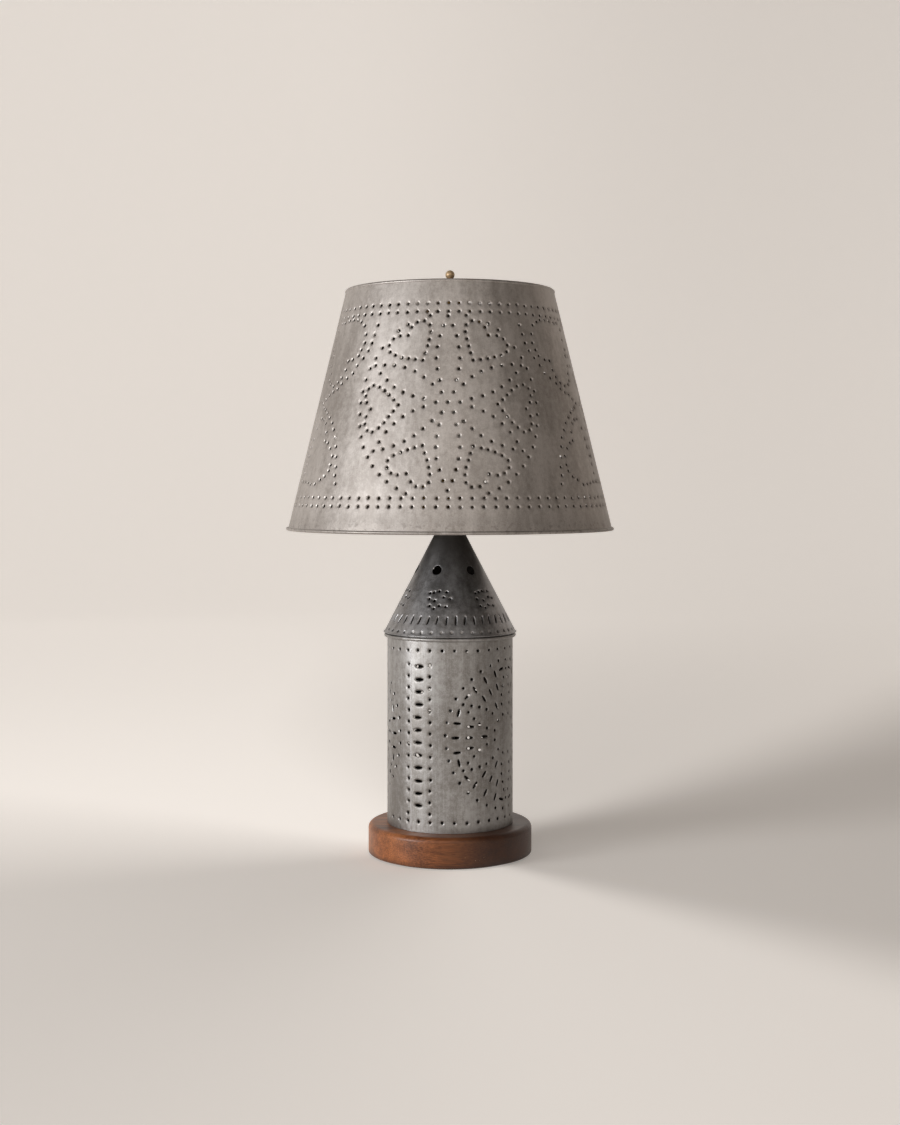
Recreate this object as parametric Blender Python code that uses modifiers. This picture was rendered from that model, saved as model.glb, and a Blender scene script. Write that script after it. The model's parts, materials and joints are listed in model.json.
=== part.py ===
"""Punched tin table lamp: a tin lantern on a turned wood base, under a conical tin shade.

Metres, +Z up. The origin is on the lamp's axis, at the underside of the felt pad. The front of the
lamp faces -Y. An azimuth is measured round the axis from the front, positive towards +X.
"""

import math

import bmesh
import bpy
from mathutils import Vector

MM = 0.001

# Clearances
GAP = 0.3 * MM  # between pieces that rest on or fit into each other
THREAD_GAP = 0.3 * MM  # radial, round every threaded pipe, stud and screw
CORD_GAP = 0.8 * MM  # radial, round the cord in its drilled channel

# Steps round a turned piece, by size
LARGE_STEPS = 48
MEDIUM_STEPS = 24
SMALL_STEPS = 16
SCREW_STEPS = 12
CURL_STEPS = 5  # round a rolled edge

# Felt pad and turned wood base
PAD_THICKNESS = 1.7 * MM
PAD_INSET = 7.0 * MM  # the pad's edge, in from the base's edge
BASE_RADIUS = 95.0 * MM
BASE_THICKNESS = 34.2 * MM
BASE_EDGE_ROUND = 6.0 * MM
BASE_FOOT_CHAMFER = 1.2 * MM
RECESS_RADIUS = 21.0 * MM
RECESS_DEPTH = 24.0 * MM
CHANNEL_HEIGHT = 6.0 * MM  # the cord channel's axis, above the wood's underside

# Threaded pipe, its nuts and washer
PIPE_RADIUS = 5.15 * MM
PIPE_BORE_RADIUS = 3.6 * MM
PIPE_BELOW_NUT = 1.0 * MM
PIPE_IN_SOCKET = 6.4 * MM
NUT_FLATS = 17.0 * MM
NUT_THICKNESS = 5.0 * MM
LOCKNUT_THICKNESS = 4.0 * MM
WASHER_RADIUS = 15.0 * MM
WASHER_THICKNESS = 1.5 * MM

# Tin lantern: floor pan, cylinder, bead and conical roof
TIN = 0.5 * MM
BODY_RADIUS = 73.5 * MM
BODY_HEIGHT = 227.0 * MM
PAN_RIM_HEIGHT = 8.0 * MM
BEAD_HEIGHT = 5.2 * MM  # the quarter-round bead under the roof's brim
BEAD_REACH = 3.2 * MM
BRIM_OVERHANG = 4.15 * MM  # the brim's edge, out from the cylinder
ROOF_BRIM_RADIUS = BODY_RADIUS + BRIM_OVERHANG
ROOF_TOP_RADIUS = 11.0 * MM
ROOF_RISE = 128.3 * MM  # from the brim to the small end under the cap
ROOF_CAP_SKIRT = 13.5 * MM  # down the slope
ROOF_CAP_SHEET = 0.8 * MM

# Holes cut right through the tin
VENT_COUNT = 6
VENT_RADIUS = 5.75 * MM
VENT_ABOVE_BRIM = 73.2 * MM
VENT_AZIMUTH = -22.5
SLOT_COLUMNS = (-30.0, 150.0)
SLOT_COUNT = 12
SLOT_LENGTH = 9.5 * MM
SLOT_WIDTH = 1.8 * MM
SLOT_PITCH = 14.3 * MM
SLOT_FIRST_HEIGHT = 29.8 * MM  # above the cylinder's lower edge

# Harp and its saddle
SADDLE_THICKNESS = 1.8 * MM
SADDLE_WIDTH = 16.0 * MM
SADDLE_HALF_SPAN = 30.0 * MM
TONGUE_WIDTH = 5.0 * MM
TONGUE_HEIGHT = 10.5 * MM
HARP_HEIGHT = 254.0 * MM  # saddle's underside to the seat under the shade
HARP_WIRE_RADIUS = 1.8 * MM
HARP_HALF_WIDTH = 57.0 * MM
HARP_STRAIGHT_LEG = 30.0 * MM
HARP_TOP_HALF_WIDTH = 9.0 * MM
HARP_SHOULDER_RUN = 5.0 * MM  # from the end of the bow to the flat at the top
HARP_BOW = ((0.86, 0.20), (1.0, 0.45), (0.88, 0.74), (0.47, 0.94))  # shares of half width and rise
SLEEVE_LENGTH = 16.0 * MM
SLEEVE_WALL = 0.9 * MM
SLEEVE_GAP = 0.45 * MM
SWIVEL_RADIUS = 7.0 * MM
SWIVEL_WALL = 2.2 * MM  # above and below the harp's wire
STUD_RADIUS = 3.1 * MM
STUD_LENGTH = 12.0 * MM

# Socket
SOCKET_HUB_RADIUS = 8.0 * MM
SOCKET_HUB_HEIGHT = 6.0 * MM
SOCKET_CAP_RADIUS = 17.8 * MM
SOCKET_CAP_HEIGHT = 19.5 * MM
SOCKET_DOME_HEIGHT = 7.4 * MM
SOCKET_DOME_KNEE = 0.3  # the dome's rise at half of its width, as a share
SOCKET_CAP_WALL = 0.9 * MM
SET_SCREW_SHANK_RADIUS = 1.3 * MM
SET_SCREW_HEAD_RADIUS = 2.2 * MM
SET_SCREW_HEAD_THICKNESS = 1.8 * MM
SOCKET_SHELL_WALL = 0.5 * MM
SOCKET_SHELL_LENGTH = 48.0 * MM
LINER_WALL = 0.7 * MM
LINER_BELOW_SHELL = 1.0 * MM  # the liner's top edge, below the shell's
INSULATOR_RISE = 3.0 * MM  # above the shell's lower edge
INSULATOR_HEIGHT = 19.0 * MM
SCREW_SHELL_WALL = 0.5 * MM
SCREW_SHELL_LENGTH = 25.5 * MM
CONTACT_RADIUS = 4.5 * MM
CONTACT_THICKNESS = 2.2 * MM
CONTACT_HOLE_RADIUS = 7.0 * MM
KEY_STEM_RADIUS = 2.0 * MM
KEY_STEM_CLEARANCE = 0.5 * MM
KEY_STEM_DEPTH = 7.5 * MM  # the stem's part inside the insulator
KEY_HEIGHT = 10.0 * MM  # above the insulator's underside
KEY_STANDOFF = 3.0 * MM
KEY_WIDTH = 13.0 * MM
KEY_LENGTH = 10.0 * MM
KEY_THICKNESS = 4.5 * MM
KEY_EDGE_ROUND = 1.2 * MM
TERMINAL_HEIGHT = 9.5 * MM
TERMINAL_HEAD_RADIUS = 3.0 * MM
TERMINAL_HEAD_THICKNESS = 2.0 * MM
TERMINAL_SHANK_RADIUS = 1.3 * MM
TERMINAL_SHANK_LENGTH = 4.5 * MM
TERMINAL_FLAT = 11.3 * MM  # the flats' distance from the axis

# Bulb
BULB_THREAD_RADIUS = 13.0 * MM
BULB_BASE_LENGTH = 19.5 * MM
BULB_BASE_WALL = 0.6 * MM
BULB_FOOT_RADIUS = 9.8 * MM
BULB_FOOT_HEIGHT = 2.0 * MM
BULB_TIP_RADIUS = 4.5 * MM
BULB_TIP_HEIGHT = 1.8 * MM
BULB_INSULATOR_HEIGHT = 3.6 * MM
BULB_RADIUS = 30.0 * MM
BULB_GLASS_LENGTH = 95.0 * MM
BULB_GLASS_WALL = 0.8 * MM
BULB_NECK_LENGTH = 14.0 * MM  # straight, most of it inside the threaded base
BULB_NECK_RISE = 3.0 * MM  # the glass's lower edge, above the base's foot

# Shade, its wired edges and its spider
SHADE_BOTTOM_RADIUS = 190.5 * MM
SHADE_TOP_RADIUS = 121.4 * MM
SHADE_HEIGHT = 278.4 * MM
EDGE_WIRE_RADIUS = 1.1 * MM
EDGE_WIRE_GAP = 0.25 * MM
EDGE_CURL_DEGREES = 270.0
BOTTOM_BEAD_PROUD = 1.3 * MM  # how far the lower rolled edge stands out from the sheet
BOTTOM_BEAD_NECK = 2.7 * MM  # the straight sheet's start, above the lower wire's centre
HUB_RADIUS = 11.0 * MM
HUB_THICKNESS = 1.6 * MM
HUB_BELOW_RIM = 6.8 * MM  # the hub's top, below the shade's top edge
SPIDER_ARM_WIDTH = 6.0 * MM
SPIDER_AZIMUTHS = (0.0, 120.0, 240.0)

# Finial
FINIAL_HEIGHT = 31.0 * MM
FINIAL_BALL_RADIUS = 5.4 * MM
FINIAL_FLANGE_RADIUS = 8.0 * MM
FINIAL_FLANGE_THICKNESS = 2.2 * MM
FINIAL_STEM_WALL = 1.7 * MM
FINIAL_NECK_RADIUS = 2.6 * MM
FINIAL_BEAD_RADIUS = 6.3 * MM
FINIAL_BEAD_HALF_HEIGHT = 1.6 * MM  # with its two slopes, half of its height each
FINIAL_FLANGE_SLOPE = 1.6 * MM
FINIAL_STEM_FLARE = 0.6 * MM

# Cord, where it leaves the base, its coil and its plug
CORD_RADIUS = 2.6 * MM
CORD_BEND_RADIUS = 12.0 * MM  # where it turns up into the pipe
BUSHING_SEAT_RADIUS = 4.4 * MM
BUSHING_SEAT_DEPTH = 13.0 * MM
BUSHING_FLANGE_RADIUS = 5.2 * MM
BUSHING_FLANGE_THICKNESS = 1.6 * MM
BUSHING_NOSE_LENGTH = 6.0 * MM
BUSHING_NOSE_RADIUS = 3.7 * MM
BUSHING_NOSE_FLARE = 0.9 * MM  # the nose's root is this much wider than its tip
COIL_CENTRE = (-33.0 * MM, 145.0 * MM)
COIL_OUTER_RADIUS = 43.0 * MM
COIL_TURNS_A_LAYER = 4
COIL_CLIMB_TURNS = 0.5
COIL_TURN_GAP = 0.6 * MM
COIL_POINTS_A_TURN = 24
COIL_HEIGHT = 4.0 * MM  # the lower layer's centre line above the table
TAIL_BEND_RADIUS = 22.0 * MM
TAIL_BEND_DEGREES = 160.0
TIE_WIDTH = 8.0 * MM
TIE_WALL = 0.8 * MM
TIE_GAP = 0.5 * MM
RELIEF_LENGTH = 20.0 * MM
RELIEF_TIP_RADIUS = 3.4 * MM
RELIEF_ROOT_RADIUS = 5.0 * MM
PLUG_LENGTH = 30.0 * MM
PLUG_WIDTH = 24.0 * MM
PLUG_THICKNESS = 12.0 * MM
BLADE_LENGTH = 16.0 * MM
BLADE_WIDTH = 6.3 * MM
BLADE_THICKNESS = 1.5 * MM
BLADE_SPACING = 12.7 * MM
PLUG_EDGE_ROUND = 2.5 * MM
PLUG_HEIGHT = PLUG_THICKNESS / 2 + GAP

# Heights, each standing on the one before
BASE_BOTTOM = PAD_THICKNESS + GAP
BASE_TOP = BASE_BOTTOM + BASE_THICKNESS
RECESS_TOP = BASE_BOTTOM + RECESS_DEPTH
WASHER_TOP = RECESS_TOP - GAP
NUT_TOP = WASHER_TOP - WASHER_THICKNESS - GAP
PIPE_BOTTOM = NUT_TOP - NUT_THICKNESS - PIPE_BELOW_NUT
CHANNEL_Z = BASE_BOTTOM + CHANNEL_HEIGHT
BODY_BOTTOM = BASE_TOP + GAP
BODY_TOP = BODY_BOTTOM + BODY_HEIGHT
ROOF_SLOPE = ROOF_RISE / (ROOF_BRIM_RADIUS - ROOF_TOP_RADIUS)  # rise over run of its side
ROOF_HALF_ANGLE = math.atan(1 / ROOF_SLOPE)
ROOF_WALL_ACROSS = TIN / math.cos(ROOF_HALF_ANGLE)  # the sheet's thickness along a radius
BRIM_Z = BODY_TOP + 2 * GAP - (ROOF_BRIM_RADIUS - ROOF_WALL_ACROSS - BODY_RADIUS) * ROOF_SLOPE
ROOF_TOP = BRIM_Z + (ROOF_BRIM_RADIUS - ROOF_TOP_RADIUS) * ROOF_SLOPE
CAP_TOP = ROOF_TOP + 2 * GAP + ROOF_CAP_SHEET
LOCKNUT_TOP = CAP_TOP + GAP + LOCKNUT_THICKNESS
SADDLE_BOTTOM = LOCKNUT_TOP + GAP
SADDLE_TOP = SADDLE_BOTTOM + SADDLE_THICKNESS
SOCKET_BOTTOM = SADDLE_TOP + GAP
PIPE_TOP = SOCKET_BOTTOM + PIPE_IN_SOCKET
SOCKET_CAP_TOP = SOCKET_BOTTOM + SOCKET_CAP_HEIGHT
SOCKET_SHOULDER = SOCKET_BOTTOM + SOCKET_HUB_HEIGHT + SOCKET_DOME_HEIGHT
SHELL_BOTTOM = SOCKET_SHOULDER + GAP
SHELL_TOP = SHELL_BOTTOM + SOCKET_SHELL_LENGTH
INSULATOR_BOTTOM = SHELL_BOTTOM + INSULATOR_RISE
INSULATOR_TOP = INSULATOR_BOTTOM + INSULATOR_HEIGHT
SCREW_SHELL_BOTTOM = INSULATOR_TOP + GAP
CONTACT_TOP = SCREW_SHELL_BOTTOM + CONTACT_THICKNESS
KEY_Z = INSULATOR_BOTTOM + KEY_HEIGHT
BULB_BOTTOM = CONTACT_TOP + GAP
BULB_INSULATOR_BOTTOM = BULB_BOTTOM + BULB_TIP_HEIGHT + GAP
BULB_BASE_BOTTOM = BULB_INSULATOR_BOTTOM + BULB_INSULATOR_HEIGHT + GAP
HARP_SEAT = SADDLE_BOTTOM + HARP_HEIGHT
HARP_WIRE_TOP = HARP_SEAT - SWIVEL_WALL - HARP_WIRE_RADIUS - GAP
HUB_BOTTOM = HARP_SEAT + GAP
HUB_TOP = HUB_BOTTOM + HUB_THICKNESS
SHADE_TOP = HUB_TOP + HUB_BELOW_RIM
SHADE_BOTTOM = SHADE_TOP - SHADE_HEIGHT
FINIAL_BOTTOM = HUB_TOP + GAP

# Radii inside the socket, from the outside in
SHELL_RADIUS = SOCKET_CAP_RADIUS - SOCKET_CAP_WALL - GAP
LINER_RADIUS = SHELL_RADIUS - SOCKET_SHELL_WALL - GAP
INSULATOR_RADIUS = LINER_RADIUS - LINER_WALL - GAP
SCREW_SHELL_RADIUS = BULB_THREAD_RADIUS + GAP + SCREW_SHELL_WALL

BASE_BACK = BASE_RADIUS
BUSHING_TIP = BASE_BACK + GAP + BUSHING_FLANGE_THICKNESS + BUSHING_NOSE_LENGTH


def clear_scene():
    for obj in list(bpy.data.objects):
        bpy.data.objects.remove(obj, do_unlink=True)


def new_collection(name):
    collection = bpy.data.collections.new(name)
    bpy.context.scene.collection.children.link(collection)
    return collection


def new_material(name, colour, roughness, metallic):
    material = bpy.data.materials.new(name)
    material.use_nodes = True
    shader = material.node_tree.nodes["Principled BSDF"]
    shader.inputs["Base Color"].default_value = (*colour, 1.0)
    shader.inputs["Roughness"].default_value = roughness
    shader.inputs["Metallic"].default_value = metallic
    material.diffuse_color = (*colour, 1.0)
    return material


clear_scene()
LAMP = new_collection("punched_tin_table_lamp")
CUTTERS = new_collection("cutters")

AGED_TIN = new_material("aged_tin", (0.36, 0.33, 0.30), 0.42, 0.9)
DARK_TIN = new_material("dark_tin", (0.20, 0.19, 0.18), 0.45, 0.9)
WALNUT = new_material("stained_walnut", (0.16, 0.07, 0.04), 0.5, 0.0)
FELT = new_material("felt", (0.06, 0.10, 0.06), 0.95, 0.0)
STEEL = new_material("zinc_steel", (0.45, 0.45, 0.44), 0.4, 1.0)
BRASS = new_material("brass", (0.62, 0.45, 0.20), 0.32, 1.0)
AGED_BRASS = new_material("aged_brass", (0.38, 0.27, 0.15), 0.4, 1.0)
PHENOLIC = new_material("black_phenolic", (0.02, 0.02, 0.02), 0.4, 0.0)
FIBRE = new_material("fibre_liner", (0.42, 0.34, 0.24), 0.85, 0.0)
FROSTED_GLASS = new_material("frosted_glass", (0.9, 0.9, 0.88), 0.3, 0.0)
ALUMINIUM = new_material("aluminium", (0.72, 0.72, 0.72), 0.3, 1.0)
CORD_BROWN = new_material("brown_cord", (0.28, 0.18, 0.08), 0.5, 0.0)


def group(name, location=(0, 0, 0), parent=None):
    """An empty that carries the pieces of one rigid body, placed on that body's joint axis."""
    empty = bpy.data.objects.new(name, None)
    empty.location = location
    empty.parent = parent
    LAMP.objects.link(empty)
    return empty


def add(name, data, material, parent, location=(0, 0, 0), rotation=(0, 0, 0)):
    """A named piece, placed in its parent group's frame."""
    obj = bpy.data.objects.new(name, data)
    data.materials.append(material)
    LAMP.objects.link(obj)
    obj.parent = parent
    obj.location = location
    obj.rotation_euler = rotation
    return obj


def signed_area(profile):
    following = profile[1:] + profile[:1]
    return sum(a[0] * b[1] - b[0] * a[1] for a, b in zip(profile, following)) / 2


def turned(name, profile, material, parent, steps, location=(0, 0, 0), rotation=(0, 0, 0)):
    """A profile of (radius, height) points turned round its own Z axis.

    Where the first and last points lie on the axis, the profile stays open there.
    """
    if signed_area(profile) > 0:
        profile = profile[::-1]
    on_axis = profile[0][0] == 0 and profile[-1][0] == 0
    count = len(profile)
    edges = [(i, (i + 1) % count) for i in range(count - 1 if on_axis else count)]
    mesh = bpy.data.meshes.new(name)
    mesh.from_pydata([(r, 0, z) for r, z in profile], edges, [])
    obj = add(name, mesh, material, parent, location, rotation)
    screw = obj.modifiers.new("turn", "SCREW")
    screw.axis = "Z"
    screw.angle = math.tau
    screw.steps = steps
    screw.render_steps = steps
    screw.use_merge_vertices = True
    screw.merge_threshold = 1e-6
    screw.use_smooth_shade = True
    return obj


def tube_profile(outer, inner, bottom, top):
    return [(inner, bottom), (inner, top), (outer, top), (outer, bottom)]


def disc_profile(radius, bottom, top):
    return [(0, top), (radius, top), (radius, bottom), (0, bottom)]


def arc(centre, radius, start, end, spans):
    """Points on a circle in the (radius, height) plane, from one angle to another in degrees."""
    angles = [math.radians(start + (end - start) * i / spans) for i in range(spans + 1)]
    return [(centre[0] + radius * math.cos(a), centre[1] + radius * math.sin(a)) for a in angles]


def sheet_profile(line, thickness):
    """The closed outline of a bent sheet that follows its middle line, with mitred corners."""
    points = [Vector(p) for p in line]
    directions = [(b - a).normalized() for a, b in zip(points, points[1:])]
    sides = ([], [])
    for i, point in enumerate(points):
        before = directions[max(i - 1, 0)]
        after = directions[min(i, len(directions) - 1)]
        normal_before = Vector((-before.y, before.x))
        normal_after = Vector((-after.y, after.x))
        mitre = (normal_before + normal_after).normalized()
        reach = thickness / 2 / mitre.dot(normal_after)
        sides[0].append(tuple(point + mitre * reach))
        sides[1].append(tuple(point - mitre * reach))
    return sides[0] + sides[1][::-1]


def place(azimuth, radius, height):
    """A point at an azimuth in degrees from the front."""
    turn = math.radians(azimuth)
    return Vector((radius * math.sin(turn), -radius * math.cos(turn), height))


def primitive_mesh(name, build):
    mesh = bpy.data.meshes.new(name)
    shape = bmesh.new()
    build(shape)
    shape.to_mesh(mesh)
    shape.free()
    return mesh


def box_mesh(name, size):
    def build(shape):
        bmesh.ops.create_cube(shape, size=1.0)
        bmesh.ops.scale(shape, vec=size, verts=shape.verts)

    return primitive_mesh(name, build)


def rod_mesh(name, radius, length, sides):
    def build(shape):
        bmesh.ops.create_cone(
            shape, cap_ends=True, segments=sides, radius1=radius, radius2=radius, depth=length
        )

    return primitive_mesh(name, build)


def cutter(name, mesh, location, rotation=(0, 0, 0), parent=None):
    obj = bpy.data.objects.new(name, mesh)
    obj.location = location
    obj.rotation_euler = rotation
    obj.parent = parent
    obj.hide_render = True
    obj.display_type = "WIRE"
    CUTTERS.objects.link(obj)
    return obj


def change(target, other, operation):
    modifier = target.modifiers.new(operation.lower(), "BOOLEAN")
    modifier.operation = operation
    modifier.object = other
    modifier.solver = "EXACT"


def cut(target, other):
    change(target, other, "DIFFERENCE")


def join(target, other):
    change(target, other, "UNION")


def round_edges(obj, width, segments):
    bevel = obj.modifiers.new("round", "BEVEL")
    bevel.width = width
    bevel.segments = segments
    bevel.limit_method = "ANGLE"


def smooth_path(points, spans):
    """A Catmull-Rom curve through the points, with this many straight pieces between each two."""
    knots = [Vector(p) for p in points]
    first = knots[0] * 2 - knots[1]
    last = knots[-1] * 2 - knots[-2]
    knots = [first, *knots, last]
    path = []
    for a, b, c, d in zip(knots, knots[1:], knots[2:], knots[3:]):
        for i in range(spans):
            t = i / spans
            path.append(
                0.5 * (2 * b + (c - a) * t + (2 * a - 5 * b + 4 * c - d) * t**2
                       + (3 * b - a - 3 * c + d) * t**3)
            )
    path.append(knots[-2])
    return path


def wire(name, points, radius, material, parent, bevel_resolution):
    """A round wire or cord along its points, with filled ends."""
    curve = bpy.data.curves.new(name, "CURVE")
    curve.dimensions = "3D"
    curve.bevel_depth = radius
    curve.bevel_resolution = bevel_resolution
    curve.use_fill_caps = True
    spline = curve.splines.new("POLY")
    spline.points.add(len(points) - 1)
    for spline_point, point in zip(spline.points, points):
        spline_point.co = (*point, 1)
        spline_point.radius = 1.0
    return add(name, curve, material, parent)


def hexagon_nut(name, top, thickness, material, parent):
    across_corners = NUT_FLATS / math.cos(math.radians(30))
    mesh = rod_mesh(name, across_corners / 2, thickness, 6)
    nut = add(name, mesh, material, parent, (0, 0, top - thickness / 2))
    bore = rod_mesh(name + "_bore", PIPE_RADIUS + THREAD_GAP, thickness * 2, SMALL_STEPS)
    cut(nut, cutter(name + "_bore", bore, (0, 0, top - thickness / 2)))
    return nut


def make_base(stand):
    turned(
        "base_pad",
        disc_profile(BASE_RADIUS - PAD_INSET, 0, PAD_THICKNESS),
        FELT, stand, LARGE_STEPS,
    )
    rounded = arc(
        (BASE_RADIUS - BASE_EDGE_ROUND, BASE_TOP - BASE_EDGE_ROUND), BASE_EDGE_ROUND, 90, 0, 4
    )
    bore = PIPE_RADIUS + THREAD_GAP
    profile = [
        (bore, BASE_TOP),
        *rounded,
        (BASE_RADIUS, BASE_BOTTOM + BASE_FOOT_CHAMFER),
        (BASE_RADIUS - BASE_FOOT_CHAMFER, BASE_BOTTOM),
        (RECESS_RADIUS, BASE_BOTTOM),
        (RECESS_RADIUS, RECESS_TOP),
        (bore, RECESS_TOP),
    ]
    base = turned("wood_base", profile, WALNUT, stand, LARGE_STEPS)
    channel_length = BASE_RADIUS * 1.2
    channel = rod_mesh("channel", CORD_RADIUS + CORD_GAP, channel_length, SCREW_STEPS)
    lying = (math.radians(90), 0, 0)
    cut(base, cutter("channel", channel, (0, channel_length / 2, CHANNEL_Z), lying))
    seat_radius = BUSHING_SEAT_RADIUS + GAP
    seat_length = BUSHING_SEAT_DEPTH + GAP
    seat = rod_mesh("bushing_seat", seat_radius, 2 * seat_length, SMALL_STEPS)
    cut(base, cutter("bushing_seat", seat, (0, BASE_BACK, CHANNEL_Z), lying))

    washer = tube_profile(
        WASHER_RADIUS, PIPE_RADIUS + THREAD_GAP, WASHER_TOP - WASHER_THICKNESS, WASHER_TOP
    )
    turned("base_washer", washer, STEEL, stand, MEDIUM_STEPS)
    hexagon_nut("base_nut", NUT_TOP, NUT_THICKNESS, STEEL, stand)
    pipe = tube_profile(PIPE_RADIUS, PIPE_BORE_RADIUS, PIPE_BOTTOM, PIPE_TOP)
    turned("lamp_pipe", pipe, STEEL, stand, SMALL_STEPS)


def make_lantern(stand):
    pan_radius = BODY_RADIUS - TIN - GAP - TIN / 2
    pan_z = BASE_TOP + GAP + TIN / 2
    pan = [
        (PIPE_RADIUS + THREAD_GAP, pan_z),
        (pan_radius, pan_z),
        (pan_radius, pan_z + PAN_RIM_HEIGHT),
    ]
    turned("lantern_floor", sheet_profile(pan, TIN), AGED_TIN, stand, LARGE_STEPS)

    body = turned(
        "lantern_body",
        tube_profile(BODY_RADIUS, BODY_RADIUS - TIN, BODY_BOTTOM, BODY_TOP),
        AGED_TIN, stand, LARGE_STEPS,
    )
    slot = box_mesh("slot", (SLOT_LENGTH, 8 * MM, SLOT_WIDTH))
    for azimuth in SLOT_COLUMNS:
        for i in range(SLOT_COUNT):
            height = BODY_BOTTOM + SLOT_FIRST_HEIGHT + i * SLOT_PITCH
            turn = (0, 0, math.radians(azimuth))
            cut(body, cutter("slot", slot, place(azimuth, BODY_RADIUS, height), turn))

    bead_inner = BODY_RADIUS + GAP
    bead_top = BRIM_Z - GAP
    quarter = [
        (bead_inner + BEAD_REACH * r, bead_top + BEAD_HEIGHT * z)
        for r, z in arc((0, 0), 1, -90, 0, 3)
    ]
    turned("lantern_bead", [*quarter, (bead_inner, bead_top)], AGED_TIN, stand, LARGE_STEPS)


def make_roof(stand):
    roof_profile = [
        (ROOF_BRIM_RADIUS, BRIM_Z),
        (ROOF_TOP_RADIUS, ROOF_TOP),
        (ROOF_TOP_RADIUS - ROOF_WALL_ACROSS, ROOF_TOP),
        (ROOF_BRIM_RADIUS - ROOF_WALL_ACROSS, BRIM_Z),
    ]
    roof = turned("lantern_roof", roof_profile, DARK_TIN, stand, LARGE_STEPS)
    vent = rod_mesh("vent", VENT_RADIUS, 14 * MM, SCREW_STEPS)
    vent_radius = ROOF_BRIM_RADIUS - VENT_ABOVE_BRIM / ROOF_SLOPE
    for i in range(VENT_COUNT):
        azimuth = VENT_AZIMUTH + 360 / VENT_COUNT * i
        lean = (math.radians(90) - ROOF_HALF_ANGLE, 0, math.radians(azimuth))
        cut(roof, cutter("vent", vent, place(azimuth, vent_radius, BRIM_Z + VENT_ABOVE_BRIM), lean))

    # The cap follows the roof's slope, half its own thickness and one gap outside it.
    outward = Vector((math.cos(ROOF_HALF_ANGLE), math.sin(ROOF_HALF_ANGLE)))
    down = Vector((math.sin(ROOF_HALF_ANGLE), -math.cos(ROOF_HALF_ANGLE)))
    cap_z = CAP_TOP - ROOF_CAP_SHEET / 2
    edge = Vector((ROOF_TOP_RADIUS, ROOF_TOP)) + outward * (GAP + ROOF_CAP_SHEET / 2)
    shoulder = edge - down * ((cap_z - edge.y) / -down.y)
    line = [
        (PIPE_RADIUS + THREAD_GAP, cap_z),
        tuple(shoulder),
        tuple(shoulder + down * ROOF_CAP_SKIRT),
    ]
    turned("roof_cap", sheet_profile(line, ROOF_CAP_SHEET), DARK_TIN, stand, MEDIUM_STEPS * 2)
    hexagon_nut("top_locknut", LOCKNUT_TOP, LOCKNUT_THICKNESS, BRASS, stand)


def make_saddle(stand):
    middle = SADDLE_BOTTOM + SADDLE_THICKNESS / 2
    tongue_x = SADDLE_HALF_SPAN + SADDLE_THICKNESS / 2
    outline = bpy.data.curves.new("saddle_outline", "CURVE")
    outline.dimensions = "2D"
    outline.fill_mode = "BOTH"
    outline.extrude = SADDLE_THICKNESS / 2
    spline = outline.splines.new("POLY")
    corners = [
        (tongue_x, TONGUE_WIDTH / 2),
        (SADDLE_WIDTH / 2, SADDLE_WIDTH / 2),
        (-SADDLE_WIDTH / 2, SADDLE_WIDTH / 2),
        (-tongue_x, TONGUE_WIDTH / 2),
        (-tongue_x, -TONGUE_WIDTH / 2),
        (-SADDLE_WIDTH / 2, -SADDLE_WIDTH / 2),
        (SADDLE_WIDTH / 2, -SADDLE_WIDTH / 2),
        (tongue_x, -TONGUE_WIDTH / 2),
    ]
    spline.points.add(len(corners) - 1)
    for spline_point, (x, y) in zip(spline.points, corners):
        spline_point.co = (x, y, 0, 1)
    spline.use_cyclic_u = True
    saddle = add("harp_saddle", outline, BRASS, stand, (0, 0, middle))
    saddle = as_mesh(saddle)
    hole = rod_mesh("saddle_hole", PIPE_RADIUS + THREAD_GAP, 10 * MM, SMALL_STEPS)
    cut(saddle, cutter("saddle_hole", hole, (0, 0, middle)))
    tongue_size = (SADDLE_THICKNESS, TONGUE_WIDTH, SADDLE_THICKNESS + TONGUE_HEIGHT)
    tongue = box_mesh("tongue", tongue_size)
    for side in (-1, 1):
        at = (side * SADDLE_HALF_SPAN, 0, SADDLE_BOTTOM + tongue_size[2] / 2)
        join(saddle, cutter("tongue", tongue, at))


def as_mesh(obj):
    """The same piece as a mesh, so that it can be cut or joined."""
    graph = bpy.context.evaluated_depsgraph_get()
    bpy.context.view_layer.update()
    mesh = bpy.data.meshes.new_from_object(obj.evaluated_get(graph))
    shape = bmesh.new()
    shape.from_mesh(mesh)
    bmesh.ops.remove_doubles(shape, verts=shape.verts, dist=1e-6)
    bmesh.ops.recalc_face_normals(shape, faces=shape.faces)
    shape.to_mesh(mesh)
    shape.free()
    name = obj.name
    material = obj.data.materials[0]
    parent = obj.parent
    location = obj.location.copy()
    rotation = obj.rotation_euler.copy()
    bpy.data.objects.remove(obj, do_unlink=True)
    mesh.materials.clear()
    return add(name, mesh, material, parent, location, rotation)


def harp_side():
    """One side of the harp in (half width, height), from its foot up to the flat at its top."""
    foot = SADDLE_TOP + TONGUE_HEIGHT + GAP
    rise = HARP_WIRE_TOP - foot - HARP_STRAIGHT_LEG
    bow = foot + HARP_STRAIGHT_LEG
    knots = [
        (SADDLE_HALF_SPAN, foot),
        (SADDLE_HALF_SPAN, bow),
        *((HARP_HALF_WIDTH * across, bow + rise * up) for across, up in HARP_BOW),
        (HARP_TOP_HALF_WIDTH + HARP_SHOULDER_RUN, HARP_WIRE_TOP),
    ]
    return [(knots[0][0], knots[0][1])] + [
        tuple(p) for p in smooth_path([Vector(k) for k in knots[1:]], 4)
    ]


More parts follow.
